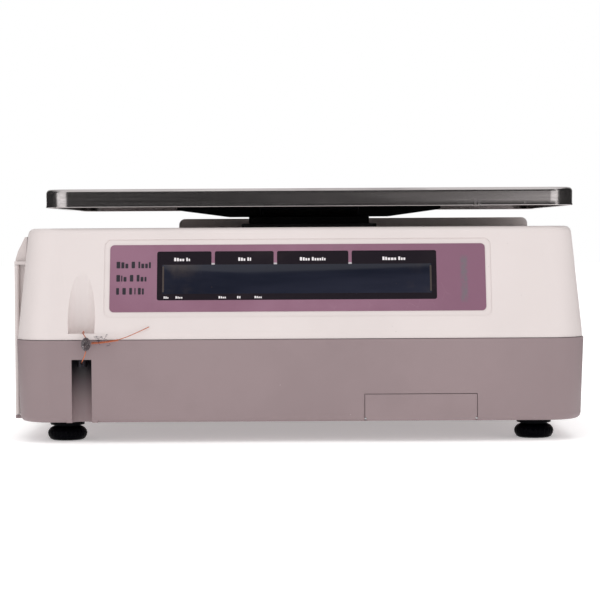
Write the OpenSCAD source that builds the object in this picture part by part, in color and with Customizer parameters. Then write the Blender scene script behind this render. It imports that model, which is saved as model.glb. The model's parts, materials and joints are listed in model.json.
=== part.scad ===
// Label printing scale: customer's side towards -Y, operator's side towards +Y, feet on Z = 0.

/* [Casing] */
// Width of the casing at the seam
case_w = 400; // [396:1:404]
// Depth of the casing at the seam
case_d = 385; // [383:1:387]
// Height of the lower casing's underside above the table
case_z = 14.4; // [14:0.1:15]
// Height of the seam between the two casings
seam_z = 72; // [71:0.5:73]
// Height of the upper casing's top plate
top_z = 150; // [149.5:0.1:150.5]
// Lean of the customer's face from upright
face_lean = 16; // [15:0.5:17]
// Thickness of the moulded walls
wall = 3; // [2.5:0.1:3.2]
// Radius of the casing's upright corners
case_r = 25; // [22:1:28]

/* [Operator's console] */
// Height of the console's ridge
ridge_z = 158; // [157:0.5:159]
// Distance of the ridge behind the middle of the casing
ridge_y = 105; // [104:0.5:106]
// Slope of the console from level
console_slope = 32; // [31:0.5:33]

/* [Weighing pan] */
// Width of the pan
pan_w = 376; // [370:1:376]
// Depth of the pan
pan_d = 270; // [266:1:270]
// Height of the pan's skirt
pan_h = 13; // [12:0.5:13]
// Height of the pan's top face
pan_z = 177.6; // [177.2:0.1:178]
// Middle of the pan to the right of the casing's middle
pan_x = 7; // [6:0.5:8]
// Middle of the pan behind the casing's middle
pan_y = -32; // [-33:0.5:-31]
// Travel of the platform before it meets its stops
platform_travel = 0.5; // [0.4:0.05:0.5]

/* [Feet] */
// Radius of a foot's disc
foot_r = 14; // [13:0.5:14.5]
// Distance of the feet from the middle, across
foot_x = 166; // [165:0.5:167]
// Distance of the feet from the middle, front to back
foot_y = 157.5; // [157:0.5:158.5]

/* [Label printer] */
// Radius of a full label roll
roll_r = 44; // [35:1:44]
// Width of the label stock
label_w = 60; // [58:1:60]
// Module of the printer's gears
gear_module = 1; // [1:0.1:1]

/* [Hidden] */
$fn = 48;
skin = 0.4;
gap = 0.4;
run_gap = 0.06;

white = [0.90, 0.86, 0.85];
grey = [0.59, 0.52, 0.53];
black = [0.05, 0.05, 0.06];
steel = [0.72, 0.72, 0.73];
purple = [0.55, 0.40, 0.47];
smoke = [0.11, 0.12, 0.17];

corner_steps = 10;
edge_steps = 3;
edge_r = 4;
lower_draft = 2;
side_lean = 5.7;
upper_w = case_w - 1.4;
upper_d = case_d - 1.4;
lip_z = seam_z + 6;
tongue_in = 1.6;

pan_t = 1;
pan_r = 18;
pan_edge = 3;
carrier_top = pan_z - pan_t - 3;
carrier_z = 158.5;
column_w = 90;
column_x0 = pan_x - column_w / 2;
column_y0 = pan_y - column_w / 2;
plate_z = 22;
plate_t = 2;
cell_z = plate_z + plate_t + 8;
cell_h = 22;
cell_len = 130;
cell_w = 30;
cap_z = cell_z + cell_h + 0.7;
bracket_z = cap_z + 6;
column_z = bracket_z + 6;

overlay_s = [14, 62.5];
overlay_x = [-133, 130];
window_s = [22.3, 57.7];
window_x = [-100, 95.8];
face_y = -upper_d / 2;

op_window_x = [-62, 150];
op_window_s = [9, 37];
keypad_x = [-90, 178];
keypad_s = [43, 92];

scoop_x = -152.3;
scoop_r = 9.5;
scoop_z = 76.6;
slot_r = 7;
slot_top = 58.5;
slot_y = -187;
screw_spots = [[150, -160], [184, 160], [-92, 176]];
foot_spots = [[-foot_x, -foot_y], [foot_x, -foot_y], [-foot_x, foot_y], [foot_x, foot_y]];

door_y = [-149, 130];
door_opening_y = [-130, 118];
door_opening_z = [26, 134];
door_out = -204;
door_t = 2.6;
door_axis = [-202.3, door_y[0]];
door_knuckle_r = 1.7;
door_pin_r = 0.9;
door_low = 17.4;
door_high = 124;
ear_t = 2.4;

cover_x = [45, 123];
cover_top = 33.3;
cover_axis = [-188.6, 16.6];
cover_barrel_r = 1.7;
bay_depth = 22;
inlet_y = 128;
switch_y = 90;
side_port_z = 45;

frame_x = -112;
frame_t = 2.5;
gear_x = -108.5;
gear_t = 6;
web_x0 = -186;
out_plate_x = -190.6;
platen = [165, 82];
platen_r = 8;
platen_teeth = 24;
idler_teeth = 30;
pinion_teeth = 12;
take_up_teeth = 60;
idler_dir = 225;
idler = platen + gear_module * (platen_teeth + idler_teeth) / 2 * [cos(idler_dir), sin(idler_dir)];
pinion = idler - [gear_module * (idler_teeth + pinion_teeth) / 2, 0];
take_up = pinion - [gear_module * (pinion_teeth + take_up_teeth) / 2, 0];
pinion_phase = 0;
idler_phase = mesh_phase(0, pinion_teeth, pinion_phase, idler_teeth);
platen_phase = mesh_phase(idler_dir - 180, idler_teeth, idler_phase, platen_teeth);
take_up_phase = mesh_phase(180, pinion_teeth, pinion_phase, take_up_teeth);
roll_axis = [-30, 84];
core_r = 12.7;
guide = [70, 112];
head_axis = [135, 108];
lever_axis = [142, 121];
bridge_z = 114.2;
exit_z = [80, 98];

// Middle lines of the seal's wire and of the ribbon cables
seal_spot = [-148.6, -197.3, 69.6];
seal_turn = 60;
seal_t = 2.4;
seal_hole = [-151.3, -182];
seal_loop = [[-148.6, -197.1, 64.7], [-149.6, -196.6, 61.5], [-151.4, -194.6, 57.6], [-152.3, -191, 56],
    [-152.3, -184, 56], [-151.8, -182.4, 57.2], [-151.3, -182, 60], [-151.3, -182, 70], [-151.3, -182.2, 76.4],
    [-151.3, -184.4, 78.2], [-151.3, -190, 77.6], [-151, -193.8, 77.2], [-149.8, -196.4, 76], [-148.7, -197.1, 74.5]];
seal_twist = [[-144.2, -193.4, 70.2], [-127.5, -196, 72.2]];
seal_tail = [[-127.3, -196, 72.3], [-120, -195.6, 76], [-112, -193.8, 79.4], [-105, -191.4, 81.6]];
ribbon_front = [[92, -160, 118], [90, -150, 96], [88, -130, 74], [88, -90, 66], [90, -60, 56], [97, -48, 33.4]];
ribbon_back = [[60, 125, 134], [78, 120, 112], [92, 110, 76], [98, 100, 48], [100, 92, 33.4]];

// Points of one rounded rectangle at a height, anticlockwise from above
function corner(x, y, r, from, z) =
    [for (i = [0:corner_steps]) let (a = from + 90 * i / corner_steps) [x + r * cos(a), y + r * sin(a), z]];
function ring(x0, x1, y0, y1, r, z) = concat(
    corner(x1 - r, y1 - r, r, 0, z),
    corner(x0 + r, y1 - r, r, 90, z),
    corner(x0 + r, y0 + r, r, 180, z),
    corner(x1 - r, y0 + r, r, 270, z));

// Solid through a stack of rings with equal numbers of points
module loft(rings) {
    n = len(rings[0]);
    last = (len(rings) - 1) * n;
    polyhedron(
        points = [for (one = rings) each one],
        faces = concat(
            [[for (i = [0:n - 1]) i]],
            [[for (i = [n - 1:-1:0]) last + i]],
            [for (k = [0:len(rings) - 2], i = [0:n - 1])
                let (j = (i + 1) % n)
                [k * n + i, (k + 1) * n + i, (k + 1) * n + j, k * n + j]]));
}

// Round tube along a line of points
function unit(v) = v / norm(v);
function tangent(path, i) =
    unit(path[min(i + 1, len(path) - 1)] - path[max(i - 1, 0)]);
function side_of(t) = unit(cross(t, abs(t[2]) > 0.9 ? [1, 0, 0] : [0, 0, 1]));
module tube(path, r, sides = 8, flat = 1) {
    loft_points = [for (i = [0:len(path) - 1])
        let (t = tangent(path, i), u = side_of(t), v = cross(t, u))
        [for (k = [0:sides - 1]) path[i] + r * (flat * cos(360 * k / sides) * u + sin(360 * k / sides) * v)]];
    loft(loft_points);
}

// Smooth line through hand-set points
function blend_point(a, b, c, d, t) =
    0.5 * (2 * b + (c - a) * t + (2 * a - 5 * b + 4 * c - d) * t * t + (3 * b - a - 3 * c + d) * t * t * t);
function smooth(p, steps) = concat(
    [for (i = [0:len(p) - 2], k = [0:steps - 1])
        blend_point(p[max(i - 1, 0)], p[i], p[i + 1], p[min(i + 2, len(p) - 1)], k / steps)],
    [p[len(p) - 1]]);

// Rectangle with round corners, as a plane figure
module round_rect(x, y, r) {
    translate([x[0] + r, y[0]]) square([x[1] - x[0] - 2 * r, y[1] - y[0]]);
    translate([x[0], y[0] + r]) square([x[1] - x[0], y[1] - y[0] - 2 * r]);
    for (cx = [x[0] + r, x[1] - r], cy = [y[0] + r, y[1] - r]) translate([cx, cy]) circle(r);
}

// Box between two corners
module box(x, y, z) translate([x[0], y[0], z[0]]) cube([x[1] - x[0], y[1] - y[0], z[1] - z[0]]);

// Frames: plane figures on the customer's face, on the console and across the machine
module on_face() translate([0, face_y, lip_z]) rotate([90 - face_lean, 0, 0]) children();
module on_console() translate([0, ridge_y, ridge_z]) rotate([-console_slope, 0, 0]) children();
module along_x(x, at = [0, 0]) translate([x, at[0], at[1]]) rotate([90, 0, 90]) children();

// Phase of a gear that meshes with another in a direction
function mesh_phase(dir, teeth, phase, other) =
    dir + 180 + (dir - phase) * teeth / other + 180 / other;
function polar(r, a) = r * [cos(a), sin(a)];
module gear(teeth, phase, bore) {
    pitch = 360 / teeth;
    r = gear_module * teeth / 2;
    root = r - 1.25 * gear_module;
    tip = r + 0.85 * gear_module;
    linear_extrude(gear_t) difference() {
        polygon([for (i = [0:teeth - 1]) let (a = phase + i * pitch)
            each [polar(root, a - 0.3 * pitch), polar(tip, a - 0.1 * pitch),
                polar(tip, a + 0.1 * pitch), polar(root, a + 0.3 * pitch)]]);
        circle(bore);
    }
}

// Rings of the lower casing, set in by t from its outer faces
function low_ring(z, t) =
    let (draft = lower_draft * (seam_z - z) / (seam_z - case_z),
        x = case_w / 2 - draft - t, y = case_d / 2 - draft - t)
    ring(-x, x, -y, y, case_r - t, z);
function low_rings(t, floor, top) = concat(
    [for (k = [0:edge_steps]) let (a = 90 * k / edge_steps)
        low_ring(floor + edge_r * (1 - cos(a)), t + edge_r * (1 - sin(a)))],
    [low_ring(top, t)]);

// Rings of the upper casing, whose customer's face leans back above the lip
function up_ring(z, t) =
    let (x = upper_w / 2 - side_lean * (z - seam_z) / (top_z - seam_z) - t,
        lean = max(0, z - lip_z) * tan(face_lean))
    ring(-x, x, -upper_d / 2 + lean + t / cos(face_lean), upper_d / 2 - t, case_r - t, z);
function up_rings(t, floor, top) = concat(
    [up_ring(floor, t), up_ring(lip_z, t)],
    [for (k = [0:edge_steps]) let (a = 90 * k / edge_steps)
        up_ring(top - edge_r * (1 - sin(a)), t + edge_r * (1 - cos(a)))]);

module below_console(t) {
    reach = 600;
    on_console() translate([-reach / 2, -reach, -reach - t]) cube([reach, 1.5 * reach, reach]);
}
hump_x = [-100, 188.5];
hump_y = [97, 120];
module hump(t) {
    r = 5;
    translate([0, hump_y[1] - t, 0]) rotate([90, 0, 0]) linear_extrude(hump_y[1] - hump_y[0] - 2 * t)
        round_rect([hump_x[0] + t, hump_x[1] - t], [top_z - 2 * r - 6, ridge_z - t], r - t / 2);
}
module upper_solid(t, floor) {
    intersection() {
        union() {
            loft(up_rings(t, floor, top_z - t));
            hump(t);
        }
        below_console(t);
    }
}

module door_hole() box([-case_w / 2 - 8, -case_w / 2 + 14], door_opening_y, door_opening_z);

module lower_casing() color(grey) difference() {
    union() {
        difference() {
            loft(low_rings(0, case_z, seam_z));
            loft(low_rings(wall, case_z + wall, seam_z + 1));
        }
        // tongue inside the upper casing
        intersection() {
            difference() {
                loft(low_rings(wall + tongue_in, case_z + wall, seam_z + 3));
                loft(low_rings(wall + tongue_in + 1.5, case_z + wall, seam_z + 4));
                box([scoop_x - 13, scoop_x + 13], [-case_d / 2, -case_d / 4], [seam_z, seam_z + 5]);
            }
            box([-case_w, case_w], [-case_d, case_d], [seam_z - 6, seam_z + 3]);
        }
        // shoulder that carries the tongue
        intersection() {
            difference() {
                loft(low_rings(wall - 0.5, case_z + wall, seam_z - 0.2));
                loft(low_rings(wall + tongue_in + 1.5, case_z + wall, seam_z + 4));
            }
            box([-case_w, case_w], [-case_d, case_d], [seam_z - 6, seam_z - 0.2]);
        }
        for (f = foot_spots) translate([f[0], f[1], case_z]) cylinder(h = 13, r = 10);
        for (s = screw_spots) translate([s[0], s[1], case_z]) cylinder(h = seam_z - case_z - 0.2, r = 6);
        for (s = plate_posts) translate([s[0], s[1], case_z]) cylinder(h = plate_z - case_z, r = 6);
        // walls round the seal slot and the connector bay
        box([scoop_x - 11, scoop_x + 11], [-case_d / 2 + 2.5, -176], [case_z, seam_z - 0.2]);
        box([cover_x[0] - 3, cover_x[1] + 3], [-case_d / 2 + 5, -188 + bay_depth + 3], [case_z, cover_top + 4]);
        // ear under the door's knuckle
        door_ear(case_z + 0.2);
    }
    translate([scoop_x, slot_y, 0]) cylinder(h = slot_top, r = slot_r);
    box([scoop_x - slot_r, scoop_x + slot_r], [-case_d / 2 - 1, slot_y], [0, slot_top]);
    translate([scoop_x, slot_y, slot_top - 1]) cylinder(h = 30, r = 2.1);
    translate([seal_hole[0], seal_hole[1], slot_top - 1]) cylinder(h = 30, r = 0.8);
    box([cover_x[0] - gap, cover_x[1] + gap], [-case_d, -186], [0, cover_top + gap]);
    box([cover_x[0] + 3, cover_x[1] - 3], [-187, -188 + bay_depth], [case_z + wall, cover_top - 1]);
    for (end = [cover_x[0] - 3, cover_x[1]])
        along_x(end, cover_axis) cylinder(h = 3, r = 0.9);
    for (f = foot_spots) translate([f[0], f[1], case_z - 1]) {
        cylinder(h = 15, r = 6.5);
    }
    for (s = screw_spots) translate([s[0], s[1], 0]) {
        cylinder(h = seam_z - 10, r = 4.3);
        cylinder(h = seam_z + 4, r = 2.1);
    }
    translate([door_axis[0], door_axis[1], case_z]) cylinder(h = 10, r = door_pin_r);
    door_hole();
    side_cuts();
}
plate_posts = [[-92, -130], [178, -130], [-92, 130], [178, 130]];

// Half-round ear that holds one of the door's pins
module door_ear(z) {
    translate([door_axis[0], door_axis[1], z]) cylinder(h = ear_t, r = door_knuckle_r);
    box([door_axis[0], -case_w / 2 + 6.5], [door_axis[1] - door_knuckle_r, door_axis[1] + door_knuckle_r],
        [z, z + ear_t]);
}

// Openings for the mains inlet and the switch in the right flank
module side_cuts() {
    along_x(case_w / 2 - 8, [inlet_y, side_port_z]) linear_extrude(20)
        round_rect([-14, 14], [-10.5, 10.5], 2);
    along_x(case_w / 2 - 8, [switch_y, side_port_z]) linear_extrude(20)
        round_rect([-10, 10], [-7, 7], 1);
}

module upper_casing() color(white) difference() {
    union() {
        difference() {
            upper_solid(0, seam_z + gap);
            upper_solid(wall, seam_z - 2);
        }
        // wall behind the seal scoop
        intersection() {
            upper_solid(1, seam_z + gap);
            box([scoop_x - 12, scoop_x + 12], [-case_d / 2, -176.5], [seam_z + gap, 118]);
        }
        // posts for the casing's screws
        intersection() {
            upper_solid(1.5, seam_z + gap);
            for (s = screw_spots) translate([s[0], s[1], seam_z + gap]) cylinder(h = 90, r = 4.5);
        }
        door_ear(door_high + gap);
    }
    translate([scoop_x, -scoop_r - 179.9, scoop_z]) cylinder(h = 60, r = scoop_r);
    for (s = concat(screw_spots, [[scoop_x, slot_y]]))
        translate([s[0], s[1], seam_z - 2]) cylinder(h = 20, r = 1.6);
    translate([seal_hole[0], seal_hole[1], seam_z - 2]) cylinder(h = 12, r = 0.8);
    box([column_x0 - 2, column_x0 + column_w + 2], [column_y0 - 2, column_y0 + column_w + 2],
        [top_z - 10, top_z + 2]);
    on_face() {
        translate([0, 0, -0.6]) linear_extrude(5)
            round_rect(overlay_x + [-4, 4], overlay_s + [-4, 4], 5);
        translate([0, 0, -8]) linear_extrude(10)
            round_rect(window_x + [4, -4], window_s + [4, -4], 2);
    }
    on_console() {
        translate([0, 0, -0.6]) linear_extrude(5)
            round_rect(keypad_x + [-3, 3], [op_window_s[0] - 5, keypad_s[1] + 3], 4);
        translate([0, 0, -8]) linear_extrude(10)
            round_rect(op_window_x + [3, -3], op_window_s + [3, -3], 2);
        translate([60, keypad_s[1] - 6, -8]) linear_extrude(10) round_rect([-12, 12], [-2, 2], 1);
    }
    translate([level_spot[0], level_spot[1], top_z - 8]) cylinder(h = 12, r = level_r + 0.1);
    box(exit_x, [case_d / 2 - 8, case_d / 2 + 4], exit_z);
    translate([door_axis[0], door_axis[1], door_high - 1]) cylinder(h = 3.4, r = door_pin_r);
    door_hole();
}
level_spot = [130, 62];
level_r = 8;
exit_x = [-188, -122];

module column_collar() color(black) translate([0, 0, top_z]) linear_extrude(3) difference() {
    round_rect([column_x0 - 5.5, column_x0 + column_w + 5.5], [column_y0 - 5.5, column_y0 + column_w + 5.5], 5);
    round_rect([column_x0 - 1, column_x0 + column_w + 1], [column_y0 - 1, column_y0 + column_w + 1], 4);
}

module customer_overlay() color(purple) on_face() translate([0, 0, -0.6]) linear_extrude(skin) difference() {
    round_rect(overlay_x, overlay_s, 3);
    round_rect(window_x, window_s, 1.5);
}
module customer_window() color(smoke) on_face() translate([0, 0, -0.6]) linear_extrude(skin)
    round_rect(window_x, window_s, 1.5);
module customer_display() color("darkgreen") on_face() {
    translate([0, 0, -wall - 3.4]) linear_extrude(2.8)
        round_rect(window_x + [6, -6], window_s + [6, -6], 1);
    translate([0, 0, -wall - 5.2]) linear_extrude(1.6) round_rect(window_x + [-4, 4], window_s + [-5, 5], 1);
    for (x = [window_x[0], window_x[1]])
        translate([x, window_s[0] - 2, -wall - 3.6]) cylinder(h = 3.3, r = 2);
}

module operator_overlay() color(purple) on_console() translate([0, 0, -0.6]) linear_extrude(skin) difference() {
    round_rect(keypad_x, op_window_s + [-3, 2.5], 3);
    round_rect(op_window_x, op_window_s, 1.5);
}
module operator_window() color(smoke) on_console() translate([0, 0, -0.6]) linear_extrude(skin)
    round_rect(op_window_x, op_window_s, 1.5);
module operator_display() color("darkgreen") on_console() {
    translate([0, 0, -wall - 3.4]) linear_extrude(2.8)
        round_rect(op_window_x + [5, -5], op_window_s + [5, -5], 1);
    translate([0, 0, -wall - 5.2]) linear_extrude(1.6)
        round_rect(keypad_x + [4, -4], [op_window_s[0] - 3, keypad_s[1] - 8], 2);
}
module keypad_film() color(purple) on_console() {
    translate([0, 0, -0.6]) linear_extrude(skin) round_rect(keypad_x, keypad_s, 3);
    key_w = 17;
    key_d = 9;
    for (column = [0:11], row = [0:3])
        translate([keypad_x[0] + 14 + column * 21.5, keypad_s[0] + 6.5 + row * 12, -0.6 + skin])
            linear_extrude(0.3) round_rect([-key_w / 2, key_w / 2], [-key_d / 2, key_d / 2], 1.5);
}

module spirit_level() color("gold") translate([level_spot[0], level_spot[1], top_z - 7]) difference() {
    union() {
        cylinder(h = 7, r = level_r);
        cylinder(h = 1.5, r = level_r + 1.5);
    }
    translate([0, 0, 5.5]) cylinder(h = 2, r = level_r - 1.5);
}

// Weighing mechanism
module base_plate() color(steel) difference() {
    linear_extrude_at(plate_z, plate_t) round_rect([-104, 188], [-140, 140], 5);
    for (s = plate_posts) translate([s[0], s[1], plate_z - 1]) cylinder(h = 4, r = 2.2);
    for (x = [20, 60, 100]) translate([x, 100, plate_z - 1]) cylinder(h = 4, r = 6);
}
module linear_extrude_at(z, h) translate([0, 0, z]) linear_extrude(h) children();
cell_x0 = pan_x - cell_len / 2;
module cell_foot() color(steel)
    box([cell_x0, cell_x0 + 32], [pan_y - cell_w / 2, pan_y + cell_w / 2], [plate_z + plate_t, cell_z]);
module load_cell() color("silver") translate([cell_x0, pan_y - cell_w / 2, cell_z]) difference() {
    cube([cell_len, cell_w, cell_h]);
    for (x = [cell_len / 2 - 13, cell_len / 2 + 13])
        translate([x, -1, cell_h / 2]) rotate([-90, 0, 0]) cylinder(h = cell_w + 2, r = 8);
    translate([cell_len / 2 - 13, -1, cell_h / 2 - 3]) cube([26, cell_w + 2, 6]);
}
module overload_stops() color("dimgray")
    for (x = [-44, 44], y = [-30, 30]) translate([pan_x + x, pan_y + y, plate_z + plate_t]) {
        cylinder(h = 4, r = 5, $fn = 6);
        cylinder(h = bracket_z - plate_z - plate_t - platform_travel - 0.1, r = 3);
    }
module cell_cap() color(steel) {
    x1 = cell_x0 + cell_len;
    box([x1 - 32, x1], [pan_y - cell_w / 2, pan_y + cell_w / 2], [cap_z, bracket_z]);
    box([pan_x - 52, x1], [pan_y - 38, pan_y + 38], [bracket_z, column_z]);
}
module column() color(black) difference() {
    linear_extrude_at(column_z, carrier_z - column_z)
        round_rect([column_x0, column_x0 + column_w], [column_y0, column_y0 + column_w], 3);
    linear_extrude_at(column_z + 5, carrier_z) round_rect([column_x0 + 4, column_x0 + column_w - 4],
        [column_y0 + 4, column_y0 + column_w - 4], 2);
}
module arm_profile(tip, inner) polygon([[-tip, carrier_z + 5], [-inner, carrier_z], [inner, carrier_z],
    [tip, carrier_z + 5], [tip, carrier_top], [-tip, carrier_top]]);
module pan_carrier() color(black) translate([pan_x, pan_y, 0]) {
    translate([0, 36, 0]) rotate([90, 0, 0]) linear_extrude(72) arm_profile(99, 62);
    rotate([0, 0, 90]) translate([0, 36, 0]) rotate([90, 0, 0]) linear_extrude(72) arm_profile(84, 60);
}
module pan_pads() color("dimgray") for (x = [-88, 88], y = [-24, 24])
    translate([pan_x + x, pan_y + y, carrier_top]) cylinder(h = 3, r = 6);
function pan_ring(t, r, z) = ring(pan_x - pan_w / 2 + t, pan_x + pan_w / 2 - t,
    pan_y - pan_d / 2 + t, pan_y + pan_d / 2 - t, r - t, z);
function pan_rings(t, floor, top) = concat(
    [pan_ring(t, pan_r, floor)],
    [for (k = [0:edge_steps + 1]) let (a = 90 * k / (edge_steps + 1))
        pan_ring(t + pan_edge * (1 - cos(a)), pan_r, top - pan_edge * (1 - sin(a)))]);
module weighing_pan() color(steel) difference() {
    loft(pan_rings(0, pan_z - pan_h, pan_z));
    loft(pan_rings(pan_t, pan_z - pan_h - 1, pan_z - pan_t));
}

// Electronics
module main_board() color("darkgreen") {
    box([92, 186], [-56, 100], [plate_z + plate_t + 6, plate_z + plate_t + 7.6]);
    for (x = [98, 180], y = [-50, 94]) translate([x, y, plate_z + plate_t]) cylinder(h = 6, r = 3);
    for (y = [-36, 0, 36]) box([104, 128], [y - 10, y + 10], [plate_z + plate_t + 7.6, plate_z + plate_t + 11]);
    box([140, 176], [60, 90], [plate_z + plate_t + 7.6, plate_z + plate_t + 20]);
}
module power_supply() color("silver") difference() {
    box([96, 184], [-136, -66], [plate_z + plate_t, plate_z + plate_t + 36]);
    for (y = [-128:10:-78]) box([104, 176], [y, y + 3], [plate_z + plate_t + 30, plate_z + plate_t + 40]);
}
module power_inlet() color(black) {
    difference() {
        union() {
            along_x(case_w / 2 - 24, [inlet_y, side_port_z]) linear_extrude(24.5)
                round_rect([-13.6, 13.6], [-10.1, 10.1], 2);
            along_x(case_w / 2, [inlet_y, side_port_z]) linear_extrude(1.5)
                round_rect([-20, 20], [-13.5, 13.5], 4);
        }
        along_x(case_w / 2 - 15, [inlet_y, side_port_z]) linear_extrude(20)
            round_rect([-12, 12], [-8, 8], 2);
    }
    for (y = [-7, 0, 7])
        box([case_w / 2 - 16, case_w / 2 - 3], [inlet_y + y - 1, inlet_y + y + 1],
            [side_port_z + (y == 0 ? 1 : -4), side_port_z + (y == 0 ? 5 : 0)]);
}
module power_switch() color(black) difference() {
    union() {
        along_x(case_w / 2 - 18, [switch_y, side_port_z]) linear_extrude(18.5)
            round_rect([-9.6, 9.6], [-6.6, 6.6], 1);
        along_x(case_w / 2, [switch_y, side_port_z]) linear_extrude(1.5) round_rect([-11.5, 11.5], [-8.5, 8.5], 1);
    }
    along_x(case_w / 2 - 10, [switch_y, side_port_z]) linear_extrude(20)
        round_rect([-8.4, 8.4], [-5.4, 5.4], 0.5);
    translate(rocker_axis - [0, 0, 6.2]) cylinder(h = 12.4, r = 1.2 + run_gap);
}
rocker_axis = [case_w / 2 - 2.4, switch_y, side_port_z];
module power_rocker() color("firebrick") translate(rocker_axis) {
    translate([0, 0, -5]) linear_extrude(10)
        polygon([[-5.4, -2.2], [-5.4, 2.2], [0, 7.2], [4, 7.2], [2.5, 0], [2.2, -7.2], [0, -7.2]]);
    translate([0, 0, -6]) cylinder(h = 12, r = 1.2);
}
module serial_port() color("silver") translate([0, -188 + bay_depth, 0]) {
    box([56, 88], [-2.5, 0], [19, 31]);
    box([60, 84], [-6, -2.5], [20.8, 29.2]);
}
module network_port() color("silver") difference() {
    box([98, 114], [-188 + bay_depth - 8, -188 + bay_depth], [18.5, 31.5]);
    box([100, 112], [-188 + bay_depth - 9, -188 + bay_depth - 1.5], [20, 29]);
}
module ribbon_cables() color("lightgray") {
    tube(smooth(ribbon_front, 5), 1, 8);
    tube(smooth(ribbon_back, 5), 1, 8);
}

// Label printer, with its axles across the machine
module printer_frame() color("silver") difference() {
    union() {
        along_x(frame_x) linear_extrude(frame_t) polygon([[-78, plate_z + plate_t], [180, plate_z + plate_t],
            [180, 98], [112, 138], [-60, 138], [-78, 120]]);
        box([frame_x + frame_t, -94], [-60, -20], [plate_z + plate_t, plate_z + plate_t + 2.5]);
        along_x(frame_x, idler) cylinder(h = frame_t + 11, r = 2.5);
    }
    along_x(frame_x - 1, platen) cylinder(h = 5, r = 3 + run_gap);
    along_x(frame_x - 1, pinion) cylinder(h = 5, r = 3.4);
    along_x(frame_x - 1, take_up) cylinder(h = 5, r = 3 + run_gap);
    along_x(frame_x - 1, lever_axis) cylinder(h = 5, r = 2.5 + run_gap);
    along_x(frame_x - 1, [10, 100]) cylinder(h = 5, r = 14);
}
module outer_bracket() color("silver") difference() {
    union() {
        along_x(out_plate_x) linear_extrude(2)
            polygon([[156, 72], [178, 72], [178, 96], [170, 100], [156, 100]]);
        along_x(out_plate_x, [172, 75]) cylinder(h = frame_x - out_plate_x, r = 1.8);
    }
    along_x(out_plate_x - 1, platen) cylinder(h = 4, r = 3 + run_gap);
}
module head_bridge() color("silver") {
    box([-188, frame_x], [150, 162], [bridge_z, bridge_z + 2]);
    box([-188, frame_x], [150, 151.5], [bridge_z, bridge_z + 5]);
}
module head_shaft() color(steel) along_x(-189, head_axis) cylinder(h = frame_x + 189, r = 2.5);
module print_head() color("dimgray") difference() {
    union() {
        along_x(web_x0) linear_extrude(label_w) polygon([[153, 96.5], [162.5, 91.3], [168, 90.9], [172, 93],
            [172, 99], [153, 102]]);
        for (y = [154:3:163]) box([web_x0 + 4, web_x0 + label_w - 4], [y, y + 1.2], [99, 105]);
        for (x = [web_x0 - 2.4, web_x0 + label_w])
            along_x(x) linear_extrude(2.4) polygon([[130, 104], [137, 102.8], [153, 98], [160, 95],
                [160, 101], [153, 106], [138, 113], [131, 112]]);
    }
    along_x(web_x0 - 4, head_axis) cylinder(h = label_w + 8, r = 2.5 + run_gap);
}
spring_x = [-172, -140];
module head_springs() color(steel) for (x = spring_x)
    tube([for (i = [0:60])
        [x + 2.6 * cos(36 * i), 156.4 + 2.6 * sin(36 * i), 105.8 + i * (bridge_z - 106.4) / 60]], 0.4, 6);
module head_lever() color("firebrick") {
    along_x(-191.4, lever_axis) cylinder(h = 80, r = 2.5);
    along_x(-191.4) linear_extrude(2.2) {
        translate(lever_axis) circle(5);
        polygon([lever_axis + [-1, -4], lever_axis + [-1, 4], lever_axis + [-30, 3], lever_axis + [-30, -2]]);
    }
    box([-192.2, -187], [lever_axis[0] - 34, lever_axis[0] - 28], [lever_axis[1] - 2, lever_axis[1] + 3]);
}
module motor() color("dimgray") {
    difference() {
        along_x(-136) linear_extrude(frame_x + 136)
            round_rect([pinion[0] - 17.5, pinion[0] + 17.5], [pinion[1] - 17.5, pinion[1] + 17.5], 3);
        along_x(-134, pinion) cylinder(h = 40, r = 2.5 + run_gap);
    }
}
module motor_pinion() color("gold") {
    along_x(-133, pinion) cylinder(h = gear_x + gear_t + 134, r = 2.5);
    along_x(gear_x, pinion) gear(pinion_teeth, pinion_phase, 1);
}
module idler_gear() color("ivory") along_x(gear_x, idler) gear(idler_teeth, idler_phase, 2.5 + run_gap);
module platen_roller() color(black) {
    along_x(web_x0, platen) cylinder(h = label_w, r = platen_r);
    along_x(out_plate_x, platen) cylinder(h = gear_x + gear_t + 2 - out_plate_x, r = 3);
    along_x(gear_x, platen) gear(platen_teeth, platen_phase, 1);
}
module take_up_spool() color("ivory") {
    along_x(web_x0, take_up) cylinder(h = label_w, r = 12);
    along_x(web_x0 + label_w, take_up) cylinder(h = 2, r = 16);
    along_x(web_x0, take_up) cylinder(h = gear_x + gear_t + 2 - web_x0, r = 3);
    along_x(gear_x, take_up) gear(take_up_teeth, take_up_phase, 1);
}
module roll_spindle() color("ivory") {
    along_x(web_x0 - 2, roll_axis) cylinder(h = frame_x - web_x0 + 2, r = core_r - run_gap);
    along_x(frame_x - 4, roll_axis) cylinder(h = 4, r = 30);
}
module label_roll() color("white") along_x(web_x0, roll_axis) difference() {
    cylinder(h = label_w, r = roll_r);
    translate([0, 0, -1]) cylinder(h = label_w + 2, r = core_r);
}
module guide_rod() color(steel) along_x(web_x0 - 2, guide) cylinder(h = frame_x - web_x0 + 2, r = 3);
module peel_bar() color(steel) along_x(out_plate_x + 2) linear_extrude(frame_x - out_plate_x - 2)
    polygon([[174.6, 89.4], [176.4, 89.7], [177.2, 88.6], [177.2, 84], [175, 84]]);
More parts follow.
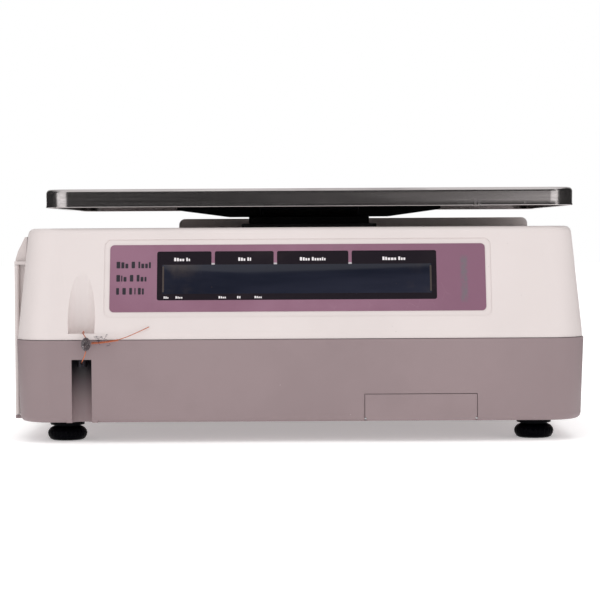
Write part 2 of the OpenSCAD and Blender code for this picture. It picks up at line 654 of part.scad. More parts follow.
// Plane figure of a thin strip along a line of points, mitred at its corners
function across(path, i) =
    let (before = unit(path[max(i, 1)] - path[max(i, 1) - 1]),
        after = unit(path[min(i, len(path) - 2) + 1] - path[min(i, len(path) - 2)]),
        d = unit(before + after))
    [-d[1], d[0]] / (d * before);
module strip(path, t) polygon(concat(
    [for (i = [0:len(path) - 1]) path[i] + t / 2 * across(path, i)],
    [for (i = [len(path) - 1:-1:0]) path[i] - t / 2 * across(path, i)]));
module label_web() color("white") along_x(web_x0 + 1) linear_extrude(label_w - 2) {
    strip([roll_axis + [0, roll_r + 0.7], guide + [1, 3.35], platen + [0, platen_r + 0.35],
        [176.8, 90.5], [178, 89.2], [178.4, 87], [178.4, 70], [150, 40.5], [112, 40.5], take_up + [0, -12.6]], 0.3);
}
module label_sensor() color(black) difference() {
    along_x(-136) linear_extrude(24) polygon([[112, 94], [126, 91], [126, 110], [112, 112]]);
    along_x(-137) linear_extrude(12) polygon([[110, 101.8], [128, 97], [128, 103], [110, 107.9]]);
}
module exit_bezel() color("dimgray") difference() {
    union() {
        box([exit_x[0] + 0.5, exit_x[1] - 0.5], [case_d / 2 - 6, case_d / 2], exit_z + [0.5, -0.5]);
        box(exit_x + [-4, 4], [case_d / 2 - 0.7, case_d / 2 + 2.5], exit_z + [-4, 4]);
        box(exit_x, [case_d / 2 + 2, 202.3], [exit_z[0] - 4, exit_z[0] - 0.5]);
    }
    box([exit_x[0] + 4, exit_x[1] - 4], [case_d / 2 - 8, case_d / 2 + 12], exit_z + [3, -3]);
}

// Printer door
door_profile = [[-203.4, door_low], [door_out, door_low + 1.5], [door_out, door_high], [-203.2, 129],
    [-201.6, 134], [-196.6, 144], [-194.8, 144.2], [-199.4, 133.2], [-201, 128],
    [door_out + door_t, door_high], [door_out + door_t, door_low]];
door_end_t = 2;
door_end = [[-202, 18], [-202, door_high], [-201.8, 128.5], [-200.2, 133.4], [-195.9, 143.6], [-194.95, 143.3],
    [-196.2, 124], [-199.6, 78], [-200.6, 72], [-198.9, 20], [-199.2, 18]];
module side_door() color(white) difference() {
    union() {
        translate([0, door_y[1], 0]) rotate([90, 0, 0])
            linear_extrude(door_y[1] - door_y[0] - door_knuckle_r - 0.6) polygon(door_profile);
        box([door_axis[0] - door_knuckle_r, door_axis[0] + 0.9], [door_axis[1], door_axis[1] + 4],
            [door_low, door_high]);
        translate([door_axis[0], door_axis[1], door_low])
            cylinder(h = door_high - door_low, r = door_knuckle_r);
        // end walls that close the door against the casing's flank
        for (y = [door_y[0] + 4.3, door_y[1]])
            translate([0, y, 0]) rotate([90, 0, 0]) linear_extrude(door_end_t) polygon(door_end);
    }
    translate([door_axis[0], door_axis[1], door_low - 1])
        cylinder(h = door_high - door_low + 2, r = door_pin_r + run_gap);
    translate([-case_w / 2 - 9, door_y[1] - 6, 74]) rotate([0, 90, 0]) cylinder(h = 5.6, r = 9);
}
module hinge_pins() color(steel) {
    translate([door_axis[0], door_axis[1], case_z + 0.4]) cylinder(h = 12, r = door_pin_r);
    translate([door_axis[0], door_axis[1], door_high - 9]) cylinder(h = 11, r = door_pin_r);
    for (end = [cover_x[0] - 2, cover_x[1] - 3.5])
        along_x(end, cover_axis) cylinder(h = 5.5, r = 0.9);
}
module door_strike() color(steel) box([door_out + door_t, door_out + door_t + 1], [104, 114], [84, 100]);
module catch_magnet() color("dimgray") box([-199.6, -190], [105, 113], [86, 98]);

module connector_cover() color(grey) difference() {
    union() {
        translate([0, -189.2, 0]) rotate([90, 0, 0]) linear_extrude(2.2)
            polygon([[cover_x[0], cover_top], [cover_x[1], cover_top], [cover_x[1], case_z + 3.4],
                [cover_x[1] - 3, case_z + 0.6], [cover_x[0] + 3, case_z + 0.6], [cover_x[0], case_z + 3.4]]);
        along_x(cover_x[0] + 1, cover_axis) cylinder(h = cover_x[1] - cover_x[0] - 2, r = cover_barrel_r);
    }
    for (end = [cover_x[0] - 1, cover_x[1] - 4])
        along_x(end, cover_axis) cylinder(h = 5, r = 0.9 + run_gap);
}

// Feet, screws and seal
foot_profile = [[0, 0], [10.6, 0], [12.4, 0.9], [foot_r - 0.4, 3], [foot_r, 5], [foot_r - 0.5, 6.8],
    [12, 8.6], [10, 9.6], [9.4, 10], [9.4, 10.6], [12, 10.8], [12.2, 11.2], [12.2, 13.3], [4, 13.3], [4, 34],
    [0, 34]];
module foot(spot) color(black) translate([spot[0], spot[1], 0]) difference() {
    rotate_extrude() polygon(foot_profile);
    notches = 24;
    for (i = [0:notches - 1]) rotate([0, 0, 360 * i / notches])
        translate([foot_r + 0.5, 0, -1]) cylinder(h = 11, r = 1.1);
}
module foot_nuts() color("gold") for (f = foot_spots) translate([f[0], f[1], case_z + 1]) difference() {
    cylinder(h = 12, r = 6.5);
    translate([0, 0, -1]) cylinder(h = 14, r = 4 + run_gap);
}
module case_screws() color(steel) {
    for (s = screw_spots) translate([s[0], s[1], seam_z - 15]) {
        cylinder(h = 5, r = 3.9);
        cylinder(h = 30, r = 1.6);
    }
    // the sealed screw has a hole across its head for the wire
    translate([scoop_x, slot_y, slot_top - 5]) difference() {
        union() {
            cylinder(h = 5, r = 3.4);
            cylinder(h = 22, r = 1.6);
        }
        translate([0, -5, 2.5]) rotate([-90, 0, 0]) cylinder(h = 10, r = 0.8);
    }
}
module lead_seal() color("gray") translate(seal_spot) rotate([90, 0, seal_turn])
    translate([0, 0, -seal_t / 2])
    rotate_extrude()
        polygon([[0, 0], [4.1, 0], [4.8, 0.6], [4.8, seal_t - 0.6], [4.1, seal_t], [0, seal_t]]);
module seal_wire() color("orangered") {
    tube(smooth(seal_loop, 4), 0.35, 6);
    tube(smooth(seal_tail, 4), 0.35, 6);
    turns = 4;
    steps = 36;
    for (strand = [0, 180]) tube([for (i = [0:steps])
        let (a = strand + 360 * turns * i / steps)
        seal_twist[0] + i / steps * (seal_twist[1] - seal_twist[0]) + 0.4 * [0, cos(a), sin(a)]], 0.35, 6);
}

lower_casing();
upper_casing();
column_collar();
customer_overlay();
customer_window();
customer_display();
operator_overlay();
operator_window();
operator_display();
keypad_film();
base_plate();
cell_foot();
load_cell();
overload_stops();
main_board();
power_supply();
power_inlet();
power_switch();
serial_port();
network_port();
spirit_level();
printer_frame();
outer_bracket();
head_bridge();
head_shaft();
head_springs();
motor();
roll_spindle();
label_roll();
guide_rod();
peel_bar();
label_web();
label_sensor();
exit_bezel();
hinge_pins();
catch_magnet();
case_screws();
foot_nuts();
lead_seal();
seal_wire();
ribbon_cables();
cell_cap();
column();
pan_carrier();
pan_pads();
weighing_pan();
side_door();
door_strike();
connector_cover();
power_rocker();
foot(foot_spots[0]);  // foot_front_left
foot(foot_spots[1]);  // foot_front_right
foot(foot_spots[2]);  // foot_back_left
foot(foot_spots[3]);  // foot_back_right
print_head();
head_lever();
platen_roller();
motor_pinion();
idler_gear();
take_up_spool();
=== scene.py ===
import json
import math
import random

import bmesh
import bpy
from mathutils import Matrix, Vector, noise


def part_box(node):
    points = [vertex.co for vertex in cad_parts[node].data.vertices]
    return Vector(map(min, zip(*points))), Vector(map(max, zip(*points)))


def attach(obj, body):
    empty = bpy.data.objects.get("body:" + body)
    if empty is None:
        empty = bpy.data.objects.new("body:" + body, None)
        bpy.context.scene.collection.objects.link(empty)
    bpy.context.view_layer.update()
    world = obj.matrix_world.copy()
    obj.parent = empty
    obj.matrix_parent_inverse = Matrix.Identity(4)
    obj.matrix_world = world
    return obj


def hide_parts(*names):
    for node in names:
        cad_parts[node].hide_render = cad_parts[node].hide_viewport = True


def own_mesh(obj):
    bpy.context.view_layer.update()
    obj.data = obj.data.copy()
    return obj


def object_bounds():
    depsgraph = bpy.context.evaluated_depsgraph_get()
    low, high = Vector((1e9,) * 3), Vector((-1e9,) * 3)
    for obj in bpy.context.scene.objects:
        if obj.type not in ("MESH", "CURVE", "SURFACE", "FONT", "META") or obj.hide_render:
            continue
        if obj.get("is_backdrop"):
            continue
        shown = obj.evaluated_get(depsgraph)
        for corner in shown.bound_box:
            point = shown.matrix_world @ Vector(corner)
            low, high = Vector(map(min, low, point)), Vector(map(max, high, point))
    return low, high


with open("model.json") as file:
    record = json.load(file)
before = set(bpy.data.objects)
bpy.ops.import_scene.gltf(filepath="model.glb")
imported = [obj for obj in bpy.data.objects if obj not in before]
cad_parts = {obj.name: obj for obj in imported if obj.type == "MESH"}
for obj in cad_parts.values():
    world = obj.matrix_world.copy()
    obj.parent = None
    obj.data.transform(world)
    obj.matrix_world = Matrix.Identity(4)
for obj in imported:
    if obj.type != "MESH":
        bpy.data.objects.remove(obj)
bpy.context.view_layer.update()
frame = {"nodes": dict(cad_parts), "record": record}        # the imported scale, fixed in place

mm = 0.001
nodes = frame["nodes"]
slotOfNode = {s["node"]: s["material_slot"] for s in frame["record"]["subparts"]}
print("frame loaded with", len(nodes), "parts")


class Flow:
    # an output socket that can be used in sums
    def __init__(self, finish, socket):
        self.finish = finish
        self.socket = socket

    def sums(self, how, left, right=None):
        return self.finish.node("ShaderNodeMath", {"operation": how}, {0: left, 1: right})

    def __add__(self, other):
        return self.sums("ADD", self, other)

    def __sub__(self, other):
        return self.sums("SUBTRACT", self, other)

    def __mul__(self, other):
        return self.sums("MULTIPLY", self, other)

    def __pow__(self, other):
        return self.sums("POWER", self, other)

    def __rsub__(self, other):
        return self.sums("SUBTRACT", other, self)

    __radd__ = __add__
    __rmul__ = __mul__

    def above(self, edge):
        return self.sums("GREATER_THAN", self, edge)

    def below(self, edge):
        return self.sums("LESS_THAN", self, edge)

    def size(self):
        return self.sums("ABSOLUTE", self)

    def wave(self):
        return self.sums("SINE", self)

    def step(self, low, high):
        # 0 under low, 1 over high, smooth between
        return self.finish.node("ShaderNodeMapRange", {"interpolation_type": "SMOOTHSTEP"},
                                {"Value": self, "From Min": low, "From Max": high})


class Finish:
    # one material: its shader, and the nodes that feed it
    def __init__(self, name, **fixed):
        self.material = bpy.data.materials.new(name)
        self.material.use_nodes = True
        self.tree = self.material.node_tree
        self.shader = self.tree.nodes["Principled BSDF"]
        for key, value in fixed.items():
            self.shader.inputs[key.replace("_", " ")].default_value = value
        self.place = self.node("ShaderNodeTexCoord", out="Object")

    def node(self, kind, settings=None, links=None, out=0):
        made = self.tree.nodes.new(kind)
        for key, value in (settings or {}).items():
            if key == "stops":
                self.setStops(made.color_ramp, value)
            else:
                setattr(made, key, value)
        for key, value in (links or {}).items():
            if isinstance(value, Flow):
                self.tree.links.new(value.socket, made.inputs[key])
            elif value is not None:
                made.inputs[key].default_value = value
        return Flow(self, made.outputs[out])

    def setStops(self, ramp, stops):
        while len(ramp.elements) < len(stops):
            ramp.elements.new(0.5)
        for element, (where, colour) in zip(ramp.elements, stops):
            element.position = where
            element.color = colour

    def feed(self, **flows):
        for key, flow in flows.items():
            self.tree.links.new(flow.socket, self.shader.inputs[key.replace("_", " ")])
        return self

    def mix(self, first, second, share):
        return self.node("ShaderNodeMix", {"data_type": "RGBA"}, {0: share, 6: first, 7: second}, out=2)

    def axis(self, which):
        return self.node("ShaderNodeSeparateXYZ", links={0: self.place}, out="XYZ".index(which))

    def stretched(self, stretch):
        return self.node("ShaderNodeVectorMath", {"operation": "MULTIPLY"}, {0: self.place, 1: stretch})

    def cloud(self, scale, detail=3.0, stretch=None, rough=0.55, offset=0.0):
        # soft noise, in cells per metre
        where = self.stretched(stretch) if stretch else self.place
        if offset:
            where = self.node("ShaderNodeVectorMath", {"operation": "ADD"}, {0: where, 1: (offset,) * 3})
        return self.node("ShaderNodeTexNoise", None,
                         {"Vector": where, "Scale": scale, "Detail": detail, "Roughness": rough})

    def cells(self, scale, feature="F1", stretch=None):
        where = self.stretched(stretch) if stretch else self.place
        return self.node("ShaderNodeTexVoronoi", {"feature": feature}, {"Vector": where, "Scale": scale},
                         out="Distance")

    def bump(self, height, strength, depth):
        made = self.node("ShaderNodeBump", None, {"Height": height, "Strength": strength, "Distance": depth})
        return self.feed(Normal=made)


def paint(red, green, blue):
    # screen colour, 0 to 255, as the shader's linear colour
    def linear(c):
        c = c / 255
        return c / 12.92 if c <= 0.04045 else ((c + 0.055) / 1.055) ** 2.4
    return (linear(red), linear(green), linear(blue), 1.0)


def shade(colour, times):
    return tuple(min(1.0, c * times) for c in colour[:3]) + (1.0,)


def mouldedPlastic(name, look):
    # spark-textured housing plastic with faint mottling, handling marks and dust specks, and for the casings
    # painted shade towards the ends and inside the seal's slot
    f = Finish(name, Specular_IOR_Level=look.get("shine", 0.42))
    mottle = f.cloud(look["mottle"], 4).step(0.35, 0.7)
    colour = f.mix(look["colour"], shade(look["colour"], look["dark"]), mottle)
    rubbed = f.cloud(22, 5, offset=3.1).step(0.58, 0.72) * 0.35
    colour = f.mix(colour, shade(look["colour"], look["rubbed"]), rubbed)
    specks = f.cells(look["specks"]).below(0.045) * f.cloud(41, 1, offset=9.0).above(0.6) * 0.6
    colour = f.mix(colour, look["dirt"], specks)
    if "ends" in look:  # painted shade: greyer towards the ends, and darker still at the corners
        ends = f.axis("X").size().step(0.12, 0.2)
        corners = f.axis("X").size().step(look["corner"], look["corner"] + 0.012)
        colour = f.mix(colour, shade(look["colour"], look["ends"]), ends)
        colour = f.mix(colour, shade(look["colour"], look["ends"] - 0.1), corners * 0.8)
    if "slot" in look:  # painted shade inside the seal's slot, darkest under its head
        middle, half, back, foot, head = look["slot"]
        inSlot = (f.axis("X") - middle).size().below(half) * f.axis("Z").below(head + 0.001)
        inSlot = inSlot * f.axis("Y").above(back) * f.axis("Y").below(back + 0.03)
        colour = f.mix(colour, paint(22, 20, 26), inSlot * f.axis("Z").step(foot, head))
    grain = f.cloud(look["grain"], 2)
    rough = f.cloud(60, 3, offset=5.0).step(0.3, 0.7) * 0.12 + look["rough"]
    f.feed(Base_Color=colour, Roughness=rough - rubbed * 0.2)
    return f.bump(grain, 0.22, 0.00012).material


casingWhite = mouldedPlastic("casingWhite", {
    "colour": paint(219, 209, 207), "dark": 0.965, "rubbed": 0.93, "dirt": paint(120, 112, 110),
    "mottle": 14, "specks": 190, "grain": 2600, "rough": 0.36, "ends": 0.97, "corner": 0.182})
casingGrey = mouldedPlastic("casingGrey", {
    "colour": paint(146, 128, 130), "dark": 0.94, "rubbed": 0.9, "dirt": paint(205, 195, 190),
    "mottle": 18, "specks": 170, "grain": 2300, "rough": 0.46, "ends": 0.9, "corner": 0.189,
    "slot": (-0.1523, 0.0072, -0.1888, 0.02, 0.057)})  # middle, half its width, back, foot, head
satinBlack = mouldedPlastic("satinBlack", {
    "colour": paint(30, 29, 31), "dark": 0.7, "rubbed": 1.5, "dirt": paint(90, 88, 86),
    "mottle": 40, "specks": 260, "grain": 2100, "rough": 0.38})
footBlack = mouldedPlastic("footBlack", {
    "colour": paint(2, 2, 6), "dark": 0.7, "rubbed": 1.6, "dirt": paint(70, 66, 66),
    "mottle": 90, "specks": 420, "grain": 1500, "rough": 0.3, "shine": 0.04})
gearWhite = mouldedPlastic("gearWhite", {
    "colour": paint(226, 221, 206), "dark": 0.95, "rubbed": 0.9, "dirt": paint(90, 84, 70),
    "mottle": 60, "specks": 300, "grain": 1800, "rough": 0.32})
leverRed = mouldedPlastic("leverRed", {
    "colour": paint(178, 34, 30), "dark": 0.85, "rubbed": 1.2, "dirt": paint(70, 20, 18),
    "mottle": 80, "specks": 300, "grain": 2000, "rough": 0.3})
cableGrey = mouldedPlastic("cableGrey", {
    "colour": paint(168, 168, 172), "dark": 0.92, "rubbed": 0.85, "dirt": paint(90, 90, 90),
    "mottle": 120, "specks": 300, "grain": 1500, "rough": 0.42})


def brushedPan():
    # stainless sheet: long strokes along the pan, cross scuffs, and a bloom of wear at its rim
    f = Finish("brushedPan", Metallic=1.0)
    strokes = f.cloud(700, 3, stretch=(0.012, 1, 1), rough=0.7)
    coarse = f.cloud(120, 4, stretch=(0.03, 1, 1), offset=4.0)
    bands = strokes * 0.6 + coarse * 0.4
    colour = f.mix(paint(176, 170, 170), paint(214, 208, 207), bands.step(0.3, 0.7))
    stain = f.cloud(26, 5, offset=11.0).step(0.5, 0.75) * 0.35
    colour = f.mix(colour, paint(140, 133, 133), stain)
    # rubbed upright marks near the front's right end
    scuffs = f.cloud(420, 3, stretch=(1, 1, 0.12), offset=7.0).step(0.56, 0.68) * f.axis("X").step(0.06, 0.15)
    onSkirt = f.axis("Z").below(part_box("weighing_pan")[1].z - 0.0012) * f.axis("Y").below(-0.12)
    scuffs = scuffs * f.cloud(40, 2, offset=8.0).step(0.45, 0.6) * onSkirt
    # the flat top is rougher than the skirt, from wear
    top = f.axis("Z").above(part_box("weighing_pan")[1].z - 0.0012) * 0.2
    f.feed(Base_Color=colour, Roughness=bands * 0.14 + 0.12 + stain * 0.12 + scuffs * 0.12 + top)
    return f.bump(strokes * 0.7 + coarse * 0.3 + scuffs * 0.3, 0.3, 0.00006).material


def sheetMetal(name, look):
    # plated or ground steel with grain one way, smudges and small nicks
    f = Finish(name, Metallic=look.get("metal", 1.0))
    grain = f.cloud(look["grain"], 3, stretch=look["along"])
    smudge = f.cloud(35, 4, offset=2.0).step(0.4, 0.75)
    colour = f.mix(look["colour"], shade(look["colour"], 0.78), grain.step(0.35, 0.7) * 0.5 + smudge * 0.3)
    nicks = f.cells(240).below(0.05) * f.cloud(50, 1, offset=8.0).above(0.56)
    f.feed(Base_Color=f.mix(colour, shade(look["colour"], 0.45), nicks * 0.6),
           Roughness=grain * 0.16 + look["rough"] + smudge * 0.1)
    return f.bump(grain - nicks * 0.5, 0.25, 0.00008).material


panSteel = brushedPan()
platedSteel = sheetMetal("platedSteel", {
    "colour": paint(176, 178, 184), "grain": 500, "along": (1, 1, 0.1), "rough": 0.3})
# dark screw finish; on the case screws it also stands as painted shade of the seal's slot
darkScrewAndShade = sheetMetal("darkScrewAndShade", {
    "colour": paint(58, 55, 60), "grain": 700, "along": (1, 1, 0.3), "rough": 0.4})
groundSteel = sheetMetal("groundSteel", {
    "colour": paint(200, 200, 203), "grain": 900, "along": (0.05, 1, 1), "rough": 0.2})
cellAluminium = sheetMetal("cellAluminium", {
    "colour": paint(198, 199, 203), "grain": 650, "along": (0.04, 1, 1), "rough": 0.28})
turnedBrass = sheetMetal("turnedBrass", {
    "colour": paint(206, 170, 98), "grain": 1200, "along": (1, 1, 3), "rough": 0.22})
copperBare = sheetMetal("copperBare", {
    "colour": paint(222, 132, 96), "grain": 1500, "along": (1, 1, 1), "rough": 0.24})
blackMotor = sheetMetal("blackMotor", {
    "colour": paint(44, 44, 48), "grain": 800, "along": (1, 1, 1), "rough": 0.36, "metal": 0.4})


def powderBlack():
    # cast carrier and post under a black powder coat, with orange peel
    f = Finish("powderBlack", Specular_IOR_Level=0.12)
    peel = f.cloud(900, 2)
    dust = f.cloud(50, 5, offset=6.0).step(0.55, 0.8) * 0.25
    f.feed(Base_Color=f.mix(paint(6, 6, 9), paint(40, 37, 40), dust), Roughness=dust * 0.4 + 0.42)
    return f.bump(peel, 0.35, 0.00015).material


def displayFilm():
    # printed polyester film: satin purple, with rubbed clouds and fine scratches
    f = Finish("displayFilm", Specular_IOR_Level=0.45)
    clouds = f.cloud(26, 5).step(0.35, 0.7)
    colour = f.mix(paint(142, 102, 122), paint(135, 94, 114), clouds)
    smear = f.cloud(60, 3, stretch=(1, 1, 0.22), offset=2.7).step(0.62, 0.78) * 0.3
    colour = f.mix(colour, paint(124, 97, 110), smear)
    # painted shade, darker towards the right end; and a grey rub mark there
    colour = f.mix(colour, paint(128, 89, 109), f.axis("X").step(0.02, 0.12) * 0.8)
    rub = 1 - (f.axis("X") - 0.115).size().step(0.0012, 0.0034)
    rub = rub * f.axis("Z").step(0.096, 0.1) * (1 - f.axis("Z").step(0.127, 0.131)) * f.axis("Y").below(-0.15)
    colour = f.mix(colour, paint(112, 103, 111), rub * f.cloud(300, 3, offset=8.0).step(0.25, 0.6) * 0.8)
    dots = f.cloud(1800, 1)
    hair = f.cells(110, "DISTANCE_TO_EDGE", stretch=(1, 1, 0.5)).below(0.004)
    hair = hair * f.cloud(37, 1, offset=5.0).above(0.6)
    colour = f.mix(colour, paint(172, 140, 154), hair * 0.35)
    f.feed(Base_Color=colour, Roughness=dots * 0.14 + 0.34 + smear * 0.3)
    return f.bump(dots, 0.12, 0.00004).material


def smokedWindow():
    # dark hard-coated window with wiped dust
    f = Finish("smokedWindow", Specular_IOR_Level=0.5)
    dust = f.cloud(45, 6, stretch=(0.6, 1, 1)).step(0.5, 0.85) * 0.4
    fleck = f.cells(320).below(0.05) * f.cloud(70, 1, offset=3.0).above(0.6)
    colour = f.mix(paint(33, 28, 34), paint(56, 48, 50), dust + fleck * 0.5)
    f.feed(Base_Color=colour, Roughness=dust * 0.4 + 0.12)
    return f.bump(fleck, 0.1, 0.00003).material


def displayGlass():
    # unlit glass of the numeric display: blue-black, brown where the adhesive shows at its ends
    f = Finish("displayGlass", Specular_IOR_Level=0.32)
    streak = f.cloud(18, 4, stretch=(0.25, 1, 1.6)).step(0.35, 0.7)
    colour = f.mix(paint(22, 25, 37), paint(38, 40, 53), streak)
    bloom = f.cloud(46, 5, offset=6.0).step(0.48, 0.75) * f.axis("X").size().step(0.058, 0.1)
    colour = f.mix(colour, paint(74, 64, 58), bloom * 0.75)
    fleck = f.cells(260).below(0.06) * f.cloud(55, 1, offset=1.0).above(0.57)
    colour = f.mix(colour, paint(98, 80, 68), fleck * 0.7)
    f.feed(Base_Color=colour, Roughness=streak * 0.06 + 0.08 + bloom * 0.2)
    return f.bump(fleck, 0.1, 0.00003).material


def printInk(name, colour, rough=0.45):
    f = Finish(name, Specular_IOR_Level=0.35)
    worn = f.cloud(900, 3).step(0.45, 0.8)
    f.feed(Base_Color=f.mix(colour, shade(colour, 0.8), worn), Roughness=worn * 0.15 + rough)
    return f.bump(worn, 0.1, 0.00002).material


def solderMask():
    # circuit board: green mask with tracks and pads showing through
    f = Finish("solderMask", Specular_IOR_Level=0.5, Coat_Weight=0.2)
    tracks = f.cells(170, "DISTANCE_TO_EDGE").step(0.03, 0.05)
    pads = f.cells(420).below(0.16) * f.cloud(40, 1, offset=4.0).above(0.5)
    colour = f.mix(paint(36, 108, 62), paint(18, 74, 42), tracks)
    f.feed(Base_Color=f.mix(colour, paint(190, 186, 172), pads), Metallic=pads * 0.8,
           Roughness=pads * 0.1 + 0.28)
    return f.bump(tracks * 0.5 + pads, 0.3, 0.00008).material


def rubberBlack(name, colour):
    f = Finish(name, Specular_IOR_Level=0.3)
    grain = f.cloud(1400, 3)
    dust = f.cloud(120, 4, offset=2.0).step(0.5, 0.8) * 0.3
    f.feed(Base_Color=f.mix(colour, shade(colour, 3.0), dust), Roughness=grain * 0.15 + 0.66)
    return f.bump(grain, 0.4, 0.00012).material


def rollPaper():
    # label stock: wound layers show as rings on the roll's ends
    f = Finish("rollPaper", Specular_IOR_Level=0.3)
    low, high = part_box("label_roll")
    middle = (low + high) / 2
    across = f.axis("Y") - middle.y
    up = f.axis("Z") - middle.z
    reach = (across * across + up * up) ** 0.5
    rings = (reach * 9000).wave() * 0.5 + 0.5
    drift = f.cloud(220, 3)
    colour = f.mix(paint(240, 238, 233), paint(214, 209, 198), rings * 0.5 + drift.step(0.4, 0.7) * 0.3)
    f.feed(Base_Color=colour, Roughness=drift * 0.15 + 0.5)
    return f.bump(rings * 0.5 + drift, 0.25, 0.0001).material


def dullLead():
    # pressed lead: dark in its pits, bright where it was rubbed
    f = Finish("dullLead", Metallic=0.75)
    pits = f.cloud(620, 4).step(0.36, 0.64)
    bright = f.cloud(900, 2, offset=5.0).step(0.56, 0.7)
    colour = f.mix(paint(84, 78, 82), paint(126, 118, 121), pits)
    f.feed(Base_Color=f.mix(colour, paint(196, 190, 190), bright * 0.8), Roughness=0.58 - bright * 0.2)
    return f.bump(pits, 0.7, 0.0003).material


def vialGreen():
    f = Finish("vialGreen", Specular_IOR_Level=0.6, Coat_Weight=0.6)
    depth = f.cloud(160, 2).step(0.3, 0.7)
    f.feed(Base_Color=f.mix(paint(176, 204, 64), paint(150, 182, 48), depth), Roughness=depth * 0.05 + 0.08)
    return f.bump(depth, 0.05, 0.00003).material


blackPowder = powderBlack()
purpleFilm = displayFilm()
darkWindow = smokedWindow()
lcdGlass = displayGlass()
inkWhite = printInk("inkWhite", paint(226, 220, 222))
inkDark = printInk("inkDark", paint(46, 42, 50))
inkPale = printInk("inkPale", paint(178, 172, 176))
boardGreen = solderMask()
platenRubber = rubberBlack("platenRubber", paint(34, 33, 34))
padRubber = rubberBlack("padRubber", paint(42, 40, 41))
labelPaper = rollPaper()
sealLead = dullLead()
levelVial = vialGreen()
print("finishes made")


# the finish of each CAD part, by its own name or by its material slot
finishOfSlot = {
    "white_plastic": casingWhite, "grey_plastic": casingGrey, "black_plastic": satinBlack,
    "foot_plastic": footBlack, "black_casting": blackPowder, "pan_steel": panSteel,
    "display_film": purpleFilm, "smoked_window": darkWindow, "circuit_board": boardGreen,
    "plated_steel": platedSteel, "bright_steel": groundSteel, "cell_aluminium": cellAluminium,
    "brass_insert": turnedBrass, "level_vial": levelVial, "motor_black": blackMotor,
    "gear_plastic": gearWhite, "pinion_brass": turnedBrass, "platen_rubber": platenRubber,
    "pad_rubber": padRubber, "red_plastic": leverRed, "label_paper": labelPaper,
    "lead": sealLead, "copper_wire": copperBare, "cable_grey": cableGrey}
edgeOfNode = {
    "upper_casing": 0.5, "lower_casing": 0.45, "side_door": 0.5, "connector_cover": 0.4, "column_collar": 0.6,
    "pan_carrier": 0.8, "column": 0.8, "base_plate": 0.3, "load_cell": 0.5, "cell_cap": 0.5, "cell_foot": 0.5,
    "printer_frame": 0.3, "exit_bezel": 0.4, "power_inlet": 0.4, "power_switch": 0.4, "power_rocker": 0.5,
    "motor": 0.5, "print_head": 0.25, "head_lever": 0.4, "power_supply": 0.4, "pan_pads": 0.6,
    "catch_magnet": 0.3, "roll_spindle": 0.6, "customer_window": 0.1, "operator_window": 0.1}
plainEdges = {"seal_wire", "ribbon_cables", "head_springs", "label_web", "customer_overlay",
              "operator_overlay", "keypad_film", "main_board", "motor_pinion", "idler_gear",
              "platen_roller", "take_up_spool", "hinge_pins", "operator_display", "customer_display"}


def roundEdges(piece, width):
    # moulded edges: join the faces of each flat, round what is sharp, and keep the flats flat
    weld = piece.modifiers.new("joined", "WELD")
    weld.merge_threshold = 0.002 * mm
    tidy = piece.modifiers.new("flats", "DECIMATE")
    tidy.decimate_type = "DISSOLVE"
    tidy.angle_limit = math.radians(0.6)
    edge = piece.modifiers.new("edges", "BEVEL")
    edge.width = width * mm
    edge.segments = 2
    edge.limit_method = "ANGLE"
    edge.angle_limit = math.radians(32)
    edge.use_clamp_overlap = True
    piece.modifiers.new("shading", "WEIGHTED_NORMAL").keep_sharp = False


for name, part in nodes.items():
    part.data.materials.clear()
    # the case screws take the dark screw finish as painted shade of the seal's slot
    part.data.materials.append(darkScrewAndShade if name == "case_screws" else finishOfSlot[slotOfNode[name]])
    if name not in plainEdges:
        roundEdges(part, edgeOfNode.get(name, 0.2))
print("finishes on the packed parts")


# ways of making a mesh, in millimetres
def newPiece(name, points, faces, body, finish, smooth=True):
    mesh = bpy.data.meshes.new(name)
    mesh.from_pydata([Vector(p) * mm for p in points], [], faces)
    tidy = bmesh.new()
    tidy.from_mesh(mesh)
    bmesh.ops.recalc_face_normals(tidy, faces=tidy.faces)
    tidy.to_mesh(mesh)
    tidy.free()
    for face in mesh.polygons:
        face.use_smooth = smooth
    mesh.materials.append(finish)
    made = bpy.data.objects.new(name, mesh)
    bpy.context.scene.collection.objects.link(made)
    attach(made, body)
    return made


